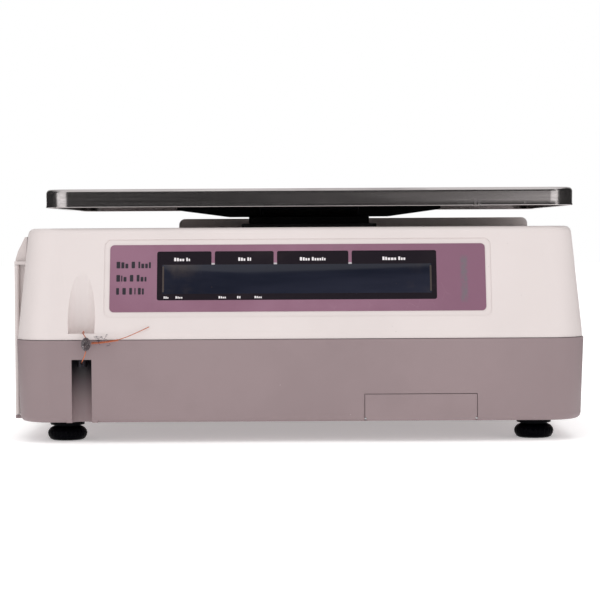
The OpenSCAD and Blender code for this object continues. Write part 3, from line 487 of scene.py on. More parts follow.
class Stock:
    # points and faces of one piece, gathered from several shapes
    def __init__(self):
        self.points = []
        self.faces = []

    def add(self, points, faces):
        start = len(self.points)
        self.points += points
        self.faces += [[start + i for i in face] for face in faces]

    def loft(self, rings):
        # skin over rings of points, with both ends closed
        count = len(rings[0])
        faces = []
        for k in range(len(rings) - 1):
            for i in range(count):
                j = (i + 1) % count
                faces.append([k * count + i, k * count + j, (k + 1) * count + j, (k + 1) * count + i])
        faces.append(list(range(count - 1, -1, -1)))
        faces.append([(len(rings) - 1) * count + i for i in range(count)])
        self.add([p for ring in rings for p in ring], faces)
        return self

    def tube(self, path, r, sides):
        # round wire along a line of points, its section carried without twist
        path = [Vector(p) for p in path]
        last = len(path) - 1
        ways = [(path[min(i + 1, last)] - path[max(i - 1, 0)]).normalized() for i in range(last + 1)]
        side = ways[0].orthogonal().normalized()
        rings = []
        for i, (point, way) in enumerate(zip(path, ways)):
            if i:
                side = ways[i - 1].rotation_difference(way) @ side
                side = (side - way * side.dot(way)).normalized()
            other = way.cross(side)
            rings.append([point + (side * math.cos(a) + other * math.sin(a)) * r
                          for a in turn(sides)])
        return self.loft(rings)

    def turned(self, profile, centre, way, sides):
        # profile of (radius, height) points turned about a line
        way = Vector(way).normalized()
        side = way.orthogonal().normalized()
        other = way.cross(side)
        rings = [[Vector(centre) + way * h + (side * math.cos(a) + other * math.sin(a)) * r
                  for a in turn(sides)] for r, h in profile]
        return self.loft(rings)

    def slab(self, outline, plane, low, high, edge=0.0):
        # flat figure standing on a plane from low to high, its top edge rounded by edge
        rings = [[onPlane(plane, u, v, low) for u, v in outline]]
        if edge:
            for k in range(3):
                a = math.pi / 4 * k
                rings.append([onPlane(plane, u, v, high - edge * (1 - math.sin(a)))
                              for u, v in shrink(outline, edge * (1 - math.cos(a)))])
        else:
            rings.append([onPlane(plane, u, v, high) for u, v in outline])
        return self.loft(rings)

    def piece(self, name, body, finish, smooth=True, slot=None):
        return newPiece(name, self.points, self.faces, body, finish, smooth)


def turn(sides):
    return [2 * math.pi * i / sides for i in range(sides)]


def roundRect(u0, u1, v0, v1, r, steps=5):
    r = min(r, (u1 - u0) / 2 - 0.001, (v1 - v0) / 2 - 0.001)
    points = []
    for cu, cv, start in ((u1 - r, v1 - r, 0), (u0 + r, v1 - r, 90),
                          (u0 + r, v0 + r, 180), (u1 - r, v0 + r, 270)):
        for k in range(steps + 1):
            a = math.radians(start + 90 * k / steps)
            points.append((cu + r * math.cos(a), cv + r * math.sin(a)))
    return points


def shrink(outline, by):
    # outline drawn in towards its middle, by the same length on every side
    count = len(outline)
    done = []
    for i, (u, v) in enumerate(outline):
        before = Vector(outline[i - 1])
        after = Vector(outline[(i + 1) % count])
        along = (after - before).normalized()
        done.append((u - along.y * by, v + along.x * by))
    return done


def onPlane(plane, u, v, out):
    return plane["at"] + plane["across"] * u + plane["up"] * v + plane["out"] * out


def smoothLine(points, steps):
    # curve through given points
    p = [Vector(q) for q in points]
    p = [p[0] * 2 - p[1]] + p + [p[-1] * 2 - p[-2]]
    line = []
    for i in range(1, len(p) - 2):
        for k in range(steps):
            t = k / steps
            a, b, c, d = p[i - 1:i + 3]
            line.append(0.5 * (2 * b + (c - a) * t + (2 * a - 5 * b + 4 * c - d) * t ** 2
                               + (3 * b - a - 3 * c + d) * t ** 3))
    line.append(p[-2])
    return line


def cornersOf(node):
    low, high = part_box(node)
    return low / mm, high / mm


# planes of the customer's face and of the operator's console, on their films
faceLean = math.radians(16)
consoleSlope = math.radians(32)
filmT = 0.4
low, high = cornersOf("customer_overlay")
face = {
    "at": Vector((0, low.y, low.z + filmT * math.sin(faceLean))),
    "across": Vector((1, 0, 0)),
    "up": Vector((0, math.sin(faceLean), math.cos(faceLean))),
    "out": Vector((0, -math.cos(faceLean), math.sin(faceLean)))}
low, high = cornersOf("keypad_film")
console = {
    "at": Vector((0, high.y, low.z + filmT * math.cos(consoleSlope))),
    "across": Vector((-1, 0, 0)),
    "up": Vector((0, -math.cos(consoleSlope), math.sin(consoleSlope))),
    "out": Vector((0, math.sin(consoleSlope), math.cos(consoleSlope)))}


# ways of printing on a plane, in ink that stands a hair proud
inkLift = (0.01, 0.05)


def printedBars(name, plane, bars, finish, r):
    stock = Stock()
    for u0, u1, v0, v1 in bars:
        stock.slab(roundRect(u0, u1, v0, v1, r, 3), plane, *inkLift)
    stock.piece(name, "casing", finish, smooth=False)


def wordBars(u, v, tall, widths, space):
    # a word's worth of short upright bars, the first one tallest
    # a width under nothing leaves a gap between words
    bars = []
    first = True
    for i, w in enumerate(widths):
        if w > 0:
            share = 1.0 if first else 0.7 + 0.22 * (i * 5 % 4 == 1)
            bars.append((u, u + w, v, v + tall * share))
            u += w + space
        else:
            u -= w
        first = w < 0
    return bars, u


def wordWidth(widths, space):
    return sum(w + space if w > 0 else -w for w in widths) - space


# weighing pan: a dished steel tray with a folded skirt and a rolled hem
panLook = {"corner": 18.0, "edge": 3.0, "skin": 0.8, "hem": 0.62, "dish": 0.9, "rim": 7.0, "flare": 0.25}


def buildPan(look):
    low, high = cornersOf("weighing_pan")
    floor = low.z
    top = high.z

    def ring(inset, z, r):
        outline = roundRect(low.x + inset, high.x - inset, low.y + inset, high.y - inset, r, 14)
        return [Vector((x, y, z)) for x, y in outline]

    corner = look["corner"]
    rings = []
    hem = look["hem"]
    for k in range(7):  # rolled hem, from the inside of the skirt round to its face
        a = math.pi * (k / 6)
        out = hem * (1 + math.cos(a))
        rings.append(ring(out, floor + hem - hem * math.sin(a), corner - out))
    rings.append(ring(look["flare"], floor + 2 * hem + 0.25, corner))
    rings.append(ring(look["flare"] + 0.05, floor + 4.0, corner))
    for k in range(7):
        a = math.pi / 2 * k / 6
        inset = look["flare"] + look["edge"] * (1 - math.cos(a))
        rings.append(ring(inset, top - look["edge"] * (1 - math.sin(a)), corner - inset))
    for share, sink in ((0.35, 0.03), (0.6, 0.3), (0.8, 0.7), (1.0, 1.0)):
        inset = look["edge"] + look["rim"] * share
        rings.append(ring(inset, top - look["dish"] * sink, corner - inset * 0.5))
    # inner face, from the hem up and in under the dish
    skin = look["skin"]
    inner = [ring(look["flare"] + skin, floor + 2 * hem + 0.4, corner - skin)]
    for k in range(5):
        a = math.pi / 2 * k / 4
        inset = skin + look["edge"] * (1 - math.cos(a))
        inner.append(ring(inset, top - skin - look["edge"] * (1 - math.sin(a)), corner - inset))
    for share, sink in ((0.6, 0.3), (1.0, 1.0)):
        inset = look["edge"] + look["rim"] * share
        inner.append(ring(inset, top - skin - look["dish"] * sink, corner - inset * 0.5))
    pan = Stock().loft(inner[::-1] + rings).piece("panTray", "pan", panSteel, slot="pan_steel")
    shading = pan.modifiers.new("shading", "WEIGHTED_NORMAL")
    shading.keep_sharp = False
    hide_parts("weighing_pan")
    # spot-welded locating brackets under the tray, just inside the carrier's pads
    padLow, padHigh = cornersOf("pan_pads")
    brackets = Stock()
    for x in (padLow.x - 3, padHigh.x + 3):
        for y in (padLow.y + 6, padHigh.y - 6):
            plane = {"at": Vector((x, y, padHigh.z - 3)), "across": Vector((1, 0, 0)),
                     "up": Vector((0, 1, 0)), "out": Vector((0, 0, 1))}
            brackets.slab(roundRect(-1.1, 1.1, -7, 7, 1), plane, 0, 2.9, 0.3)
    brackets.piece("panLocators", "pan", platedSteel, slot="plated_steel")


buildPan(panLook)


# customer's display: glass behind the window, gaps between its tabs, printed headings
displayLook = {
    "windowHead": 43.7, "glass": (-96.4, 92.4, 12.9, 34.0),
    "gaps": (-60.7, -17.1, 35.3), "gapWide": 2.3, "gapFoot": 34.2,
    "headings": ((-82.5, (1.5, 1.3, 1.4, 1.3, -1.0, 1.1, 1.0)), (-38.6, (1.4, 1.3, 1.2, -1.0, 1.1, 1.0)),
                 (9.1, (1.6, 1.3, 1.2, 1.3, -1.0, 1.4, 1.2, 1.3, 1.1, 1.1, 1.0)),
                 (66.0, (1.5, 1.2, 1.8, 1.8, 1.3, -1.0, 1.4, 1.2, 1.3))),
    "headingTall": 2.5, "headingFoot": 36.6, "letterSpace": 0.5,
    "legends": ((-95.2, (0.8, 1.0, 0.8)), (-86.9, (1.0, 0.8, 0.9, 0.9)), (-56.8, (1.1, 0.9, 0.9, 1.0)),
                (-43.9, (1.0, 1.0)), (-31.7, (1.0, 0.9, 1.0, 0.9))),
    "legendTall": 1.7, "legendFoot": 9.5}


def buildDisplay(look):
    # the glass shows through as a dark pane let into the window
    u0, u1, v0, v1 = look["glass"]
    pane = Stock().slab(roundRect(u0, u1, v0, v1, 0.8), face, 0.01, 0.09, 0.04)
    pane.piece("displayPane", "casing", lcdGlass)
    brown = Stock()
    for u in (u0 + 0.15, u1 - 1.35):
        brown.slab(roundRect(u, u + 1.2, v0 + 1.2, v1 - 1.2, 0.5), face, 0.06, 0.11)
    brown.piece("displayAdhesive", "casing", adhesiveBrown, smooth=False)
    # purple film between the heading tabs, with its round feet
    head = look["windowHead"]
    strips = Stock()
    corners = Stock()
    half = look["gapWide"] / 2
    r = 1.3
    for u in look["gaps"]:
        left = [(u - half, look["gapFoot"]), (u + half, look["gapFoot"])]
        for k in range(6):
            a = math.radians(180 - 90 * k / 5)
            left.append((u + half + r + r * math.cos(a), head - r + r * math.sin(a)))
        for k in range(6):
            a = math.radians(90 - 90 * k / 5)
            left.append((u - half - r + r * math.cos(a), head - r + r * math.sin(a)))
        strips.slab(left, face, 0.005, 0.06)
        corners.slab(roundRect(u - half, u + half, look["gapFoot"] - 0.5, look["gapFoot"] + 1.0, 0.3), face,
                     0.02, 0.075)
    strips.piece("tabGaps", "casing", purpleFilm, smooth=False)
    corners.piece("tabGapFeet", "casing", inkPale, smooth=False)
    bars = []
    for middle, widths in look["headings"]:
        u = middle - wordWidth(widths, look["letterSpace"]) / 2
        bars += wordBars(u, look["headingFoot"], look["headingTall"], widths, look["letterSpace"])[0]
    for u, widths in look["legends"]:
        bars += wordBars(u, look["legendFoot"], look["legendTall"], widths, 0.4)[0]
    printedBars("displayPrint", face, bars, inkWhite, 0.3)


adhesiveBrown = printInk("adhesiveBrown", paint(70, 60, 56), 0.5)
buildDisplay(displayLook)


# capacity block: three rows of plain bars in dark ink
capacityLook = {
    "left": -128.4, "rows": (31.6, 22.0, 12.6), "tall": 4.8, "space": 0.75,
    "words": ((2.6, 2.1, 2.0, -1.6, 2.4, -1.6, 1.3, 2.0, 1.8, 1.4),
              (2.6, 0.9, 2.1, -1.6, 2.4, -1.6, 2.0, 2.0, 1.4),
              (2.0, -1.6, 2.4, -1.6, 2.0, -0.9, 0.8, -0.9, 2.0, 1.4))}


def buildCapacity(look):
    bars = []
    for v, words in zip(look["rows"], look["words"]):
        bars += wordBars(look["left"], v, look["tall"], words, look["space"])[0]
    printedBars("capacityPrint", face, bars, inkDark, 0.4)


buildCapacity(capacityLook)


# calibration seal: a pressed lead disc on twisted copper wire
sealLook = {"thick": 2.4, "turned": 60, "wire": 0.33, "turns": 13}


def buildSeal(look):
    low, high = cornersOf("lead_seal")
    middle = (low + high) / 2
    tall = (high.z - low.z) / 2
    facing = math.radians(look["turned"])
    way = Vector((math.sin(facing), -math.cos(facing), 0))
    half = look["thick"] / 2 - 0.05
    profile = [(0.05, -half), (tall * 0.55, -half), (tall * 0.72, -half), (tall * 0.86, -half + 0.25),
               (tall * 0.97, -half * 0.5), (tall * 0.985, 0.0), (tall * 0.97, half * 0.5),
               (tall * 0.88, half * 0.86), (tall * 0.78, half), (tall * 0.7, half * 0.97),
               (tall * 0.6, half * 0.78), (tall * 0.3, half * 0.7), (0.05, half * 0.72)]
    stock = Stock().turned(profile, middle, way, 56)
    # hand-pressed: its faces are lumpy, the front one most
    for i, p in enumerate(stock.points):
        p = Vector(p)
        lump = noise.noise(p * 0.9) * 0.22 + noise.noise(p * 2.3) * 0.1
        out = p - middle
        axis = out.dot(way)
        rim = out - way * axis
        grow = 1 + min(0.0, lump) * 0.12
        stock.points[i] = middle + rim * grow + way * (axis + min(0.0, lump) * (0.8 if axis > 0 else 0.3))
    seal = stock.piece("sealDisc", "casing", sealLead, slot="lead")
    finer = seal.modifiers.new("finer", "SUBSURF")
    finer.levels = finer.render_levels = 1
    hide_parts("lead_seal")


def buildSealWire(look):
    # the loop through the casing, the twisted pair and the loose end
    r = look["wire"]
    stock = Stock()
    loop = [(-148.6, -197.1, 65.1), (-149.6, -196.6, 61.5), (-151.4, -194.6, 57.6), (-152.3, -191, 56),
            (-152.3, -184, 56), (-151.8, -182.4, 57.2), (-151.3, -182, 60), (-151.3, -182, 70),
            (-151.3, -182.2, 76.4), (-151.3, -184.4, 78.2), (-151.3, -190, 77.6), (-151, -193.8, 77.2),
            (-149.8, -196.4, 76), (-148.7, -197.1, 74.2)]
    stock.tube(smoothLine(loop, 6), r, 8)
    start = Vector((-144.9, -193.7, 70.2))
    end = Vector((-126.2, -196.0, 72.4))
    steps = look["turns"] * 8
    for strand in (0.0, math.pi):
        line = []
        for i in range(steps + 1):
            t = i / steps
            a = strand + 2 * math.pi * look["turns"] * 0.5 * t
            bend = math.sin(t * math.pi) * 0.35
            spread = 0.36 + 0.25 * (1 - t) ** 6
            line.append(start.lerp(end, t) + Vector((0, math.cos(a) * spread, math.sin(a) * spread - bend)))
        stock.tube(line, r, 8)
    tail = [(-126.6, -196.1, 72.4), (-120, -195.6, 74.6), (-112, -193.8, 78.0), (-105, -191.9, 81.2)]
    stock.tube(smoothLine(tail, 8), r * 0.8, 8)
    wire = stock.piece("sealWire", "casing", copperBare, slot="copper_wire")
    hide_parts("seal_wire")
    # frayed ends of finer wire round the twist
    random.seed(21)
    fray = Stock()
    for _ in range(9):
        x = random.uniform(-144, -131)
        z = random.uniform(68.5, 74.5)
        points = []
        for _ in range(5):
            points.append((x, -194.6 + random.uniform(-0.9, 0.9), z))
            x += random.uniform(-1.6, 2.8)
            z += random.uniform(-1.5, 1.5)
            x = max(-145, min(-129, x))
            z = max(66, min(77, z))
        fray.tube(smoothLine(points, 5), 0.09, 5)
    fray.piece("sealFray", "casing", frayDark)


frayDark = printInk("frayDark", paint(40, 42, 62), 0.5)
buildSeal(sealLook)
buildSealWire(sealLook)
print("customer's side made")


# small shapes shared by the pieces below
def onTop(x, y, z):
    return {"at": Vector((x, y, z)), "across": Vector((1, 0, 0)), "up": Vector((0, 1, 0)),
            "out": Vector((0, 0, 1))}


def strokes(plane, u, v, tall, lines, width, low, high):
    # a sign drawn in straight round-ended strokes; its lines are in shares of its height
    stock = Stock()
    for a, b in lines:
        a = Vector((u + a[0] * tall, v + a[1] * tall))
        b = Vector((u + b[0] * tall, v + b[1] * tall))
        way = (b - a).normalized() * width / 2
        angle = math.atan2(way.y, way.x)
        outline = []
        for k in range(5):
            t = angle - math.pi / 2 + math.pi * k / 4
            outline.append((b.x + width / 2 * math.cos(t), b.y + width / 2 * math.sin(t)))
        for k in range(5):
            t = angle + math.pi / 2 + math.pi * k / 4
            outline.append((a.x + width / 2 * math.cos(t), a.y + width / 2 * math.sin(t)))
        stock.slab(outline, plane, low, high)
    return stock


# numerals as seven strokes in a box 0.55 wide and 1 tall
barEnds = {"a": ((0, 1), (0.55, 1)), "b": ((0.55, 1), (0.55, 0.5)), "c": ((0.55, 0.5), (0.55, 0)),
           "d": ((0, 0), (0.55, 0)), "e": ((0, 0.5), (0, 0)), "f": ((0, 1), (0, 0.5)),
           "g": ((0, 0.5), (0.55, 0.5))}
barsOfDigit = {0: "abcdef", 1: "bc", 2: "abged", 3: "abgcd", 4: "fgbc", 5: "afgcd", 6: "afgedc", 7: "abc",
               8: "abcdefg", 9: "abcdfg"}
signLines = {
    "plus": (((0, 0.5), (0.6, 0.5)), ((0.3, 0.2), (0.3, 0.8))),
    "minus": (((0, 0.5), (0.6, 0.5)),),
    "times": (((0.05, 0.25), (0.55, 0.75)), ((0.05, 0.75), (0.55, 0.25))),
    "up": (((0.05, 0.35), (0.3, 0.75)), ((0.3, 0.75), (0.55, 0.35))),
    "enter": (((0.6, 0.8), (0.6, 0.4)), ((0.6, 0.4), (0.05, 0.4)), ((0.05, 0.4), (0.22, 0.58)),
              ((0.05, 0.4), (0.22, 0.22))),
    "dot": (((0.28, 0.1), (0.32, 0.1)),)}


# operator's keypad: domed keys in three colours, with numerals and plain signs
keypadLook = {
    "first": (76.0, 42.5), "pitch": (21.5, 12.0), "columns": 12, "rows": 4, "key": (17.0, 9.0), "corner": 1.8,
    "low": 0.02, "high": 0.62, "dome": 0.22, "numberTall": 3.6, "stroke": 0.55,
    "numbers": ((7, 8, 9), (4, 5, 6), (1, 2, 3), ("dot", 0, "times")),
    "signs": ("plus", "enter", "minus", "up")}


def buildKeypad(look):
    keyWide, keyTall = look["key"]
    caps = {"pale": Stock(), "dark": Stock(), "grey": Stock()}
    numbers = Stock()
    marks = []
    for column in range(look["columns"]):
        for row in range(look["rows"]):
            u = look["first"][0] - look["pitch"][0] * column
            v = look["first"][1] - look["pitch"][1] * row
            kind = "grey" if 8 <= column <= 10 else "dark" if column == 11 else "pale"
            outline = roundRect(u - keyWide / 2, u + keyWide / 2, v - keyTall / 2, v + keyTall / 2,
                                look["corner"], 4)
            rings = [[onPlane(console, a, b, look["low"]) for a, b in outline],
                     [onPlane(console, a, b, look["high"] - 0.2) for a, b in outline]]
            for inset, up in ((0.15, -0.05), (0.6, 0.06)):
                rings.append([onPlane(console, a, b, look["high"] + up) for a, b in shrink(outline, inset)])
            for inset, up in ((2.2, look["dome"] * 0.8), (3.6, look["dome"])):
                across, along = 1 - inset / keyWide * 2, 1 - inset / keyTall
                rings.append([onPlane(console, u + (a - u) * across, v + (b - v) * along, look["high"] + up)
                              for a, b in outline])
            caps[kind].loft(rings)
            top = look["high"] + look["dome"] * 0.75
            if kind != "pale":
                mark = look["numbers"][row][10 - column] if kind == "grey" else look["signs"][row]
                lines = [barEnds[b] for b in barsOfDigit[mark]] if isinstance(mark, int) else signLines[mark]
                left = u - (0.28 if kind == "grey" else 0.3) * look["numberTall"]
                drawn = strokes(console, left, v - look["numberTall"] / 2, look["numberTall"], lines,
                                look["stroke"], top, top + 0.12)
                numbers.add(drawn.points, drawn.faces)
            else:
                random.seed(column * 7 + row)
                widths = [random.uniform(0.9, 1.5) for _ in range(random.randint(3, 6))]
                start = u - wordWidth(widths, 0.4) / 2
                marks += wordBars(start, v - 0.8, 1.6, widths, 0.4)[0]
    caps["pale"].piece("keysProduct", "casing", keyPale)
    caps["dark"].piece("keysAction", "casing", keyDark)
    caps["grey"].piece("keysNumber", "casing", keyGrey)
    numbers.piece("keyNumerals", "casing", inkWhite, smooth=False)
    stock = Stock()
    top = look["high"] + look["dome"] * 0.6
    for u0, u1, v0, v1 in marks:
        stock.slab(roundRect(u0, u1, v0, v1, 0.3, 3), console, top, top + 0.12)
    stock.piece("keyPrint", "casing", inkDark, smooth=False)


keyPale = mouldedPlastic("keyPale", {
    "colour": paint(206, 198, 200), "dark": 0.95, "rubbed": 0.88, "dirt": paint(110, 100, 104),
    "mottle": 60, "specks": 240, "grain": 2400, "rough": 0.42})
keyDark = mouldedPlastic("keyDark", {
    "colour": paint(66, 58, 82), "dark": 0.85, "rubbed": 1.25, "dirt": paint(140, 130, 140),
    "mottle": 60, "specks": 240, "grain": 2400, "rough": 0.4})
keyGrey = mouldedPlastic("keyGrey", {
    "colour": paint(98, 94, 102), "dark": 0.88, "rubbed": 1.2, "dirt": paint(160, 156, 160),
    "mottle": 60, "specks": 240, "grain": 2400, "rough": 0.4})
buildKeypad(keypadLook)


# operator's display: glass pane, headings over it, and faint digit cells
operatorLook = {"glass": (-146, 58, 59, 76.5), "cells": 24, "cellTall": 9.5, "headings": (-126, -74, -22, 34)}


def buildOperatorDisplay(look):
    u0, u1, v0, v1 = look["glass"]
    pane = Stock().slab(roundRect(u0, u1, v0, v1, 0.8), console, 0.01, 0.09, 0.04)
    pane.piece("operatorPane", "casing", lcdGlass)
    cells = Stock()
    step = (u1 - u0 - 8) / look["cells"]
    for i in range(look["cells"]):
        u = u0 + 5 + i * step + (i // 6) * 0.6
        drawn = strokes(console, u, (v0 + v1 - look["cellTall"]) / 2, look["cellTall"],
                        list(barEnds.values()), 0.6, 0.05, 0.1)
        cells.add(drawn.points, drawn.faces)
    cells.piece("operatorCells", "casing", ghostCells, smooth=False)
    bars = []
    for middle in look["headings"]:
        widths = (1.5, 1.3, 1.4, -1.0, 1.1, 1.2, 1.0)
        u = middle - wordWidth(widths, 0.5) / 2
        bars += wordBars(u, 78.4, 2.4, widths, 0.5)[0]
    printedBars("operatorPrint", console, bars, inkWhite, 0.3)


ghostCells = printInk("ghostCells", paint(50, 54, 66), 0.3)
buildOperatorDisplay(operatorLook)


# spirit level: ring, two circles, bubble
def buildLevel():
    low, high = cornersOf("spirit_level")
    middle = (low + high) / 2
    centre = (middle.x, middle.y, 0)
    top = high.z
    r = (high.x - low.x) / 2 - 1.5
    rim = Stock().turned([(r - 1.6, top - 0.6), (r - 1.6, top - 0.1), (r - 1.2, top), (r - 0.2, top),
                          (r, top - 0.15), (r, top - 0.6)], centre, (0, 0, 1), 48)
    rim.piece("levelRim", "casing", satinBlack, slot="black_plastic")
    floor = top - 1.5
    fluid = Stock().turned([(0.05, floor + 0.02), (r - 1.55, floor + 0.02), (r - 1.55, floor + 0.9),
                            (r * 0.5, floor + 1.15), (0.05, floor + 1.25)], centre, (0, 0, 1), 48)
    fluid.piece("levelFluid", "casing", levelVial, slot="level_vial")
    lines = Stock()
    for radius in (2.0, 3.4):
        lines.turned([(radius - 0.12, floor + 1.1), (radius - 0.12, floor + 1.32),
                      (radius + 0.12, floor + 1.32), (radius + 0.12, floor + 1.1)], centre, (0, 0, 1), 40)
    lines.piece("levelCircles", "casing", inkDark)
    bubble = Stock()
    rings = []
    for k in range(7):
        a = math.pi / 2 * k / 6
        rings.append((0.05 + 1.35 * math.cos(a), floor + 1.2 + 0.28 * math.sin(a)))
    bubble.turned(rings, (middle.x + 0.4, middle.y - 0.3, 0), (0, 0, 1), 32)
    bubble.piece("levelBubble", "casing", bubblePale)


bubblePale = printInk("bubblePale", paint(232, 240, 190), 0.1)
buildLevel()


boardTop = 31.6  # the main board's upper face, which lies below the top of its box


# screw heads with a cross recess, where screws show
def crossHead(stock, centre, way, r, tall):
    way = Vector(way).normalized()
    side = way.orthogonal().normalized()
    other = way.cross(side)
    plane = {"at": Vector(centre), "across": side, "up": other, "out": way}
    rings = []
    sides = 32
    for share, up in ((1.0, 0.0), (1.0, 0.35), (0.93, 0.68), (0.78, 0.9), (0.6, 1.0), (0.56, 0.99)):
        rings.append([onPlane(plane, r * share * math.cos(a), r * share * math.sin(a), tall * up)
                      for a in turn(sides)])
    # the recess: a plus sign's outline, sinking to a point
    for share, up in ((0.5, 0.96), (0.34, 0.5), (0.04, 0.32)):
        ring = []
        for a in turn(sides):
            lobe = abs(math.cos(2 * a)) ** 0.5
            ring.append(onPlane(plane, r * share * (0.36 + 0.64 * lobe) * math.cos(a),
                                r * share * (0.36 + 0.64 * lobe) * math.sin(a), tall * up))
        rings.append(ring)
    stock.loft(rings)


def buildScrewHeads():
    plateTop = cornersOf("base_plate")[1].z
    low, high = cornersOf("power_inlet")
    inlet = (low + high) / 2
    screws = (  # name, spots, way out, radius, height
        ("plateScrews", [(x, y, plateTop) for x in (-92, 178) for y in (-130, 130)], (0, 0, 1), 3.4, 2.2),
        ("boardScrews", [(x, y, boardTop) for x in (98, 180) for y in (-50, 94)], (0, 0, 1), 2.6, 1.7),
        ("inletScrews", [(high.x - 0.7, inlet.y + y, inlet.z) for y in (-17, 17)], (1, 0, 0), 1.7, 0.75))
    for name, spots, way, r, tall in screws:
        heads = Stock()
        for spot in spots:
            crossHead(heads, spot, way, r, tall)
        heads.piece(name, "casing", platedSteel, slot="plated_steel")


buildScrewHeads()
print("operator's side made")


# inside, on the boards and the cell
def boxOn(stock, low, high, edge):
    # block with a rounded top edge, given by its two corners
    plane = onTop(0, 0, low[2])
    stock.slab(roundRect(low[0], high[0], low[1], high[1], min(0.6, edge + 0.2), 3), plane, 0.02,
               high[2] - low[2], edge)


def chip(stock, legs, x, y, z, wide, deep, pins):
    # flat package lying on a board, with bent legs along two sides
    boxOn(stock, (x - wide / 2, y - deep / 2, z + 0.25), (x + wide / 2, y + deep / 2, z + 2.1), 0.25)
    for side in (-1, 1):
        for i in range(pins):
            px = x - wide / 2 + wide * (i + 0.5) / pins
            edge = y + side * deep / 2
            legs.tube([(px, edge - side * 0.1, z + 1.1), (px, edge + side * 0.5, z + 1.1),
                       (px, edge + side * 0.8, z + 0.4), (px, edge + side * 1.5, z + 0.2)], 0.17, 5)


def can(stock, tops, x, y, z, r, tall):
    # upright capacitor: sleeve with a drawn-in foot, and a bare scored top
    stock.turned([(r * 0.9, 0.05), (r, 0.5), (r * 0.94, 1.3), (r, 2.0), (r, tall - 0.7),
                  (r * 0.9, tall - 0.05)], (x, y, z), (0, 0, 1), 28)
    tops.turned([(r * 0.86, tall - 0.3), (r * 0.86, tall + 0.05), (r * 0.7, tall + 0.12),
                 (0.05, tall + 0.12)], (x, y, z), (0, 0, 1), 28)


chipBlack = mouldedPlastic("chipBlack", {
    "colour": paint(34, 34, 36), "dark": 0.8, "rubbed": 1.3, "dirt": paint(120, 120, 120),
    "mottle": 200, "specks": 700, "grain": 4000, "rough": 0.44})
sleeveBlue = mouldedPlastic("sleeveBlue", {
    "colour": paint(34, 46, 92), "dark": 0.8, "rubbed": 1.25, "dirt": paint(150, 150, 160),
    "mottle": 160, "specks": 500, "grain": 1800, "rough": 0.26})
siliconeWhite = mouldedPlastic("siliconeWhite", {
    "colour": paint(226, 224, 218), "dark": 0.92, "rubbed": 0.9, "dirt": paint(120, 116, 108),
    "mottle": 120, "specks": 400, "grain": 900, "rough": 0.5})
coreBoard = mouldedPlastic("coreBoard", {
    "colour": paint(176, 142, 100), "dark": 0.82, "rubbed": 1.12, "dirt": paint(96, 74, 50),
    "mottle": 160, "specks": 380, "grain": 1400, "rough": 0.72})
boardLook = {
    "chips": ((112, 60, 22, 15, 12), (150, -10, 15, 8, 8), (150, 20, 12, 6, 6), (116, -51, 11, 3.4, 5)),
    "cans": ((172, -34, 4.2, 12), (161, -34, 3.2, 9), (172, -20, 3.2, 9), (178, 40, 2.6, 7),
             (132, 88, 2.6, 7)),
    "parts": 46}


def buildBoard(look):
    top = boardTop
    chips = Stock()
    legs = Stock()
    for x, y, wide, deep, pins in look["chips"]:
        chip(chips, legs, x, y, top, wide, deep, pins)
    chips.piece("boardChips", "casing", chipBlack)
    legs.piece("chipLegs", "casing", groundSteel, slot="bright_steel")
    sleeves = Stock()
    tops = Stock()
    for x, y, r, tall in look["cans"]:
        can(sleeves, tops, x, y, top, r, tall)
    sleeves.piece("boardCans", "casing", sleeveBlue)
    tops.piece("canTops", "casing", cellAluminium)
    small = Stock()
    random.seed(33)
    for _ in range(look["parts"]):
        x = random.uniform(134, 182)
        y = random.uniform(-6, 54)
        if any(abs(x - c[0]) < c[2] / 2 + 3 and abs(y - c[1]) < c[3] / 2 + 4 for c in look["chips"]):
            continue
        boxOn(small, (x - 1, y - 0.6, top), (x + 1, y + 0.6, top + 0.7), 0.15)
    small.piece("boardParts", "casing", coreBoard)
    # painted shade: thin dark strips on the tops of the board's three headers stand in for their slots
    slots = Stock()
    for y in (-36, 0, 36):
        for k in range(8):
            boxOn(slots, (107 + k * 2.5, y - 8, top + 3.42), (108 + k * 2.5, y + 8, top + 3.5), 0.02)
    slots.piece("headerSlots", "casing", chipBlack)


buildBoard(boardLook)


# load cell: sealed gauges on its top, and their screened lead to the board
def buildCell():
    low, high = cornersOf("load_cell")
    middle = (low + high) / 2
    seal = Stock()
    plane = onTop(middle.x, middle.y, high.z)
    for u in (-13, 13):  # over the two thin webs
        outline = [(u + 9 * math.cos(a) * (1 + 0.05 * math.sin(3 * a)), 8 * math.sin(a)) for a in turn(28)]
        rings = []
        for share, up in ((1.0, 0.01), (0.97, 0.3), (0.88, 0.5), (0.6, 0.6), (0.1, 0.62)):
            rings.append([onPlane(plane, u + (a - u) * share, b * share, up) for a, b in outline])
        seal.loft(rings)
    seal.piece("gaugeSeals", "casing", siliconeWhite)
    lead = Stock()
    path = [(middle.x + 30, low.y - 0.6, 44), (middle.x + 36, low.y - 4, 42), (middle.x + 46, low.y - 9, 32),
            (74, low.y - 8, 26.2), (84, low.y - 2, 25.8), (89, -42, 28), (91.5, -43, 33), (97, -43, 33.6)]
    lead.tube(smoothLine(path, 8), 1.3, 12)
    lead.piece("cellLead", "casing", cableGrey, slot="cable_grey")


buildCell()


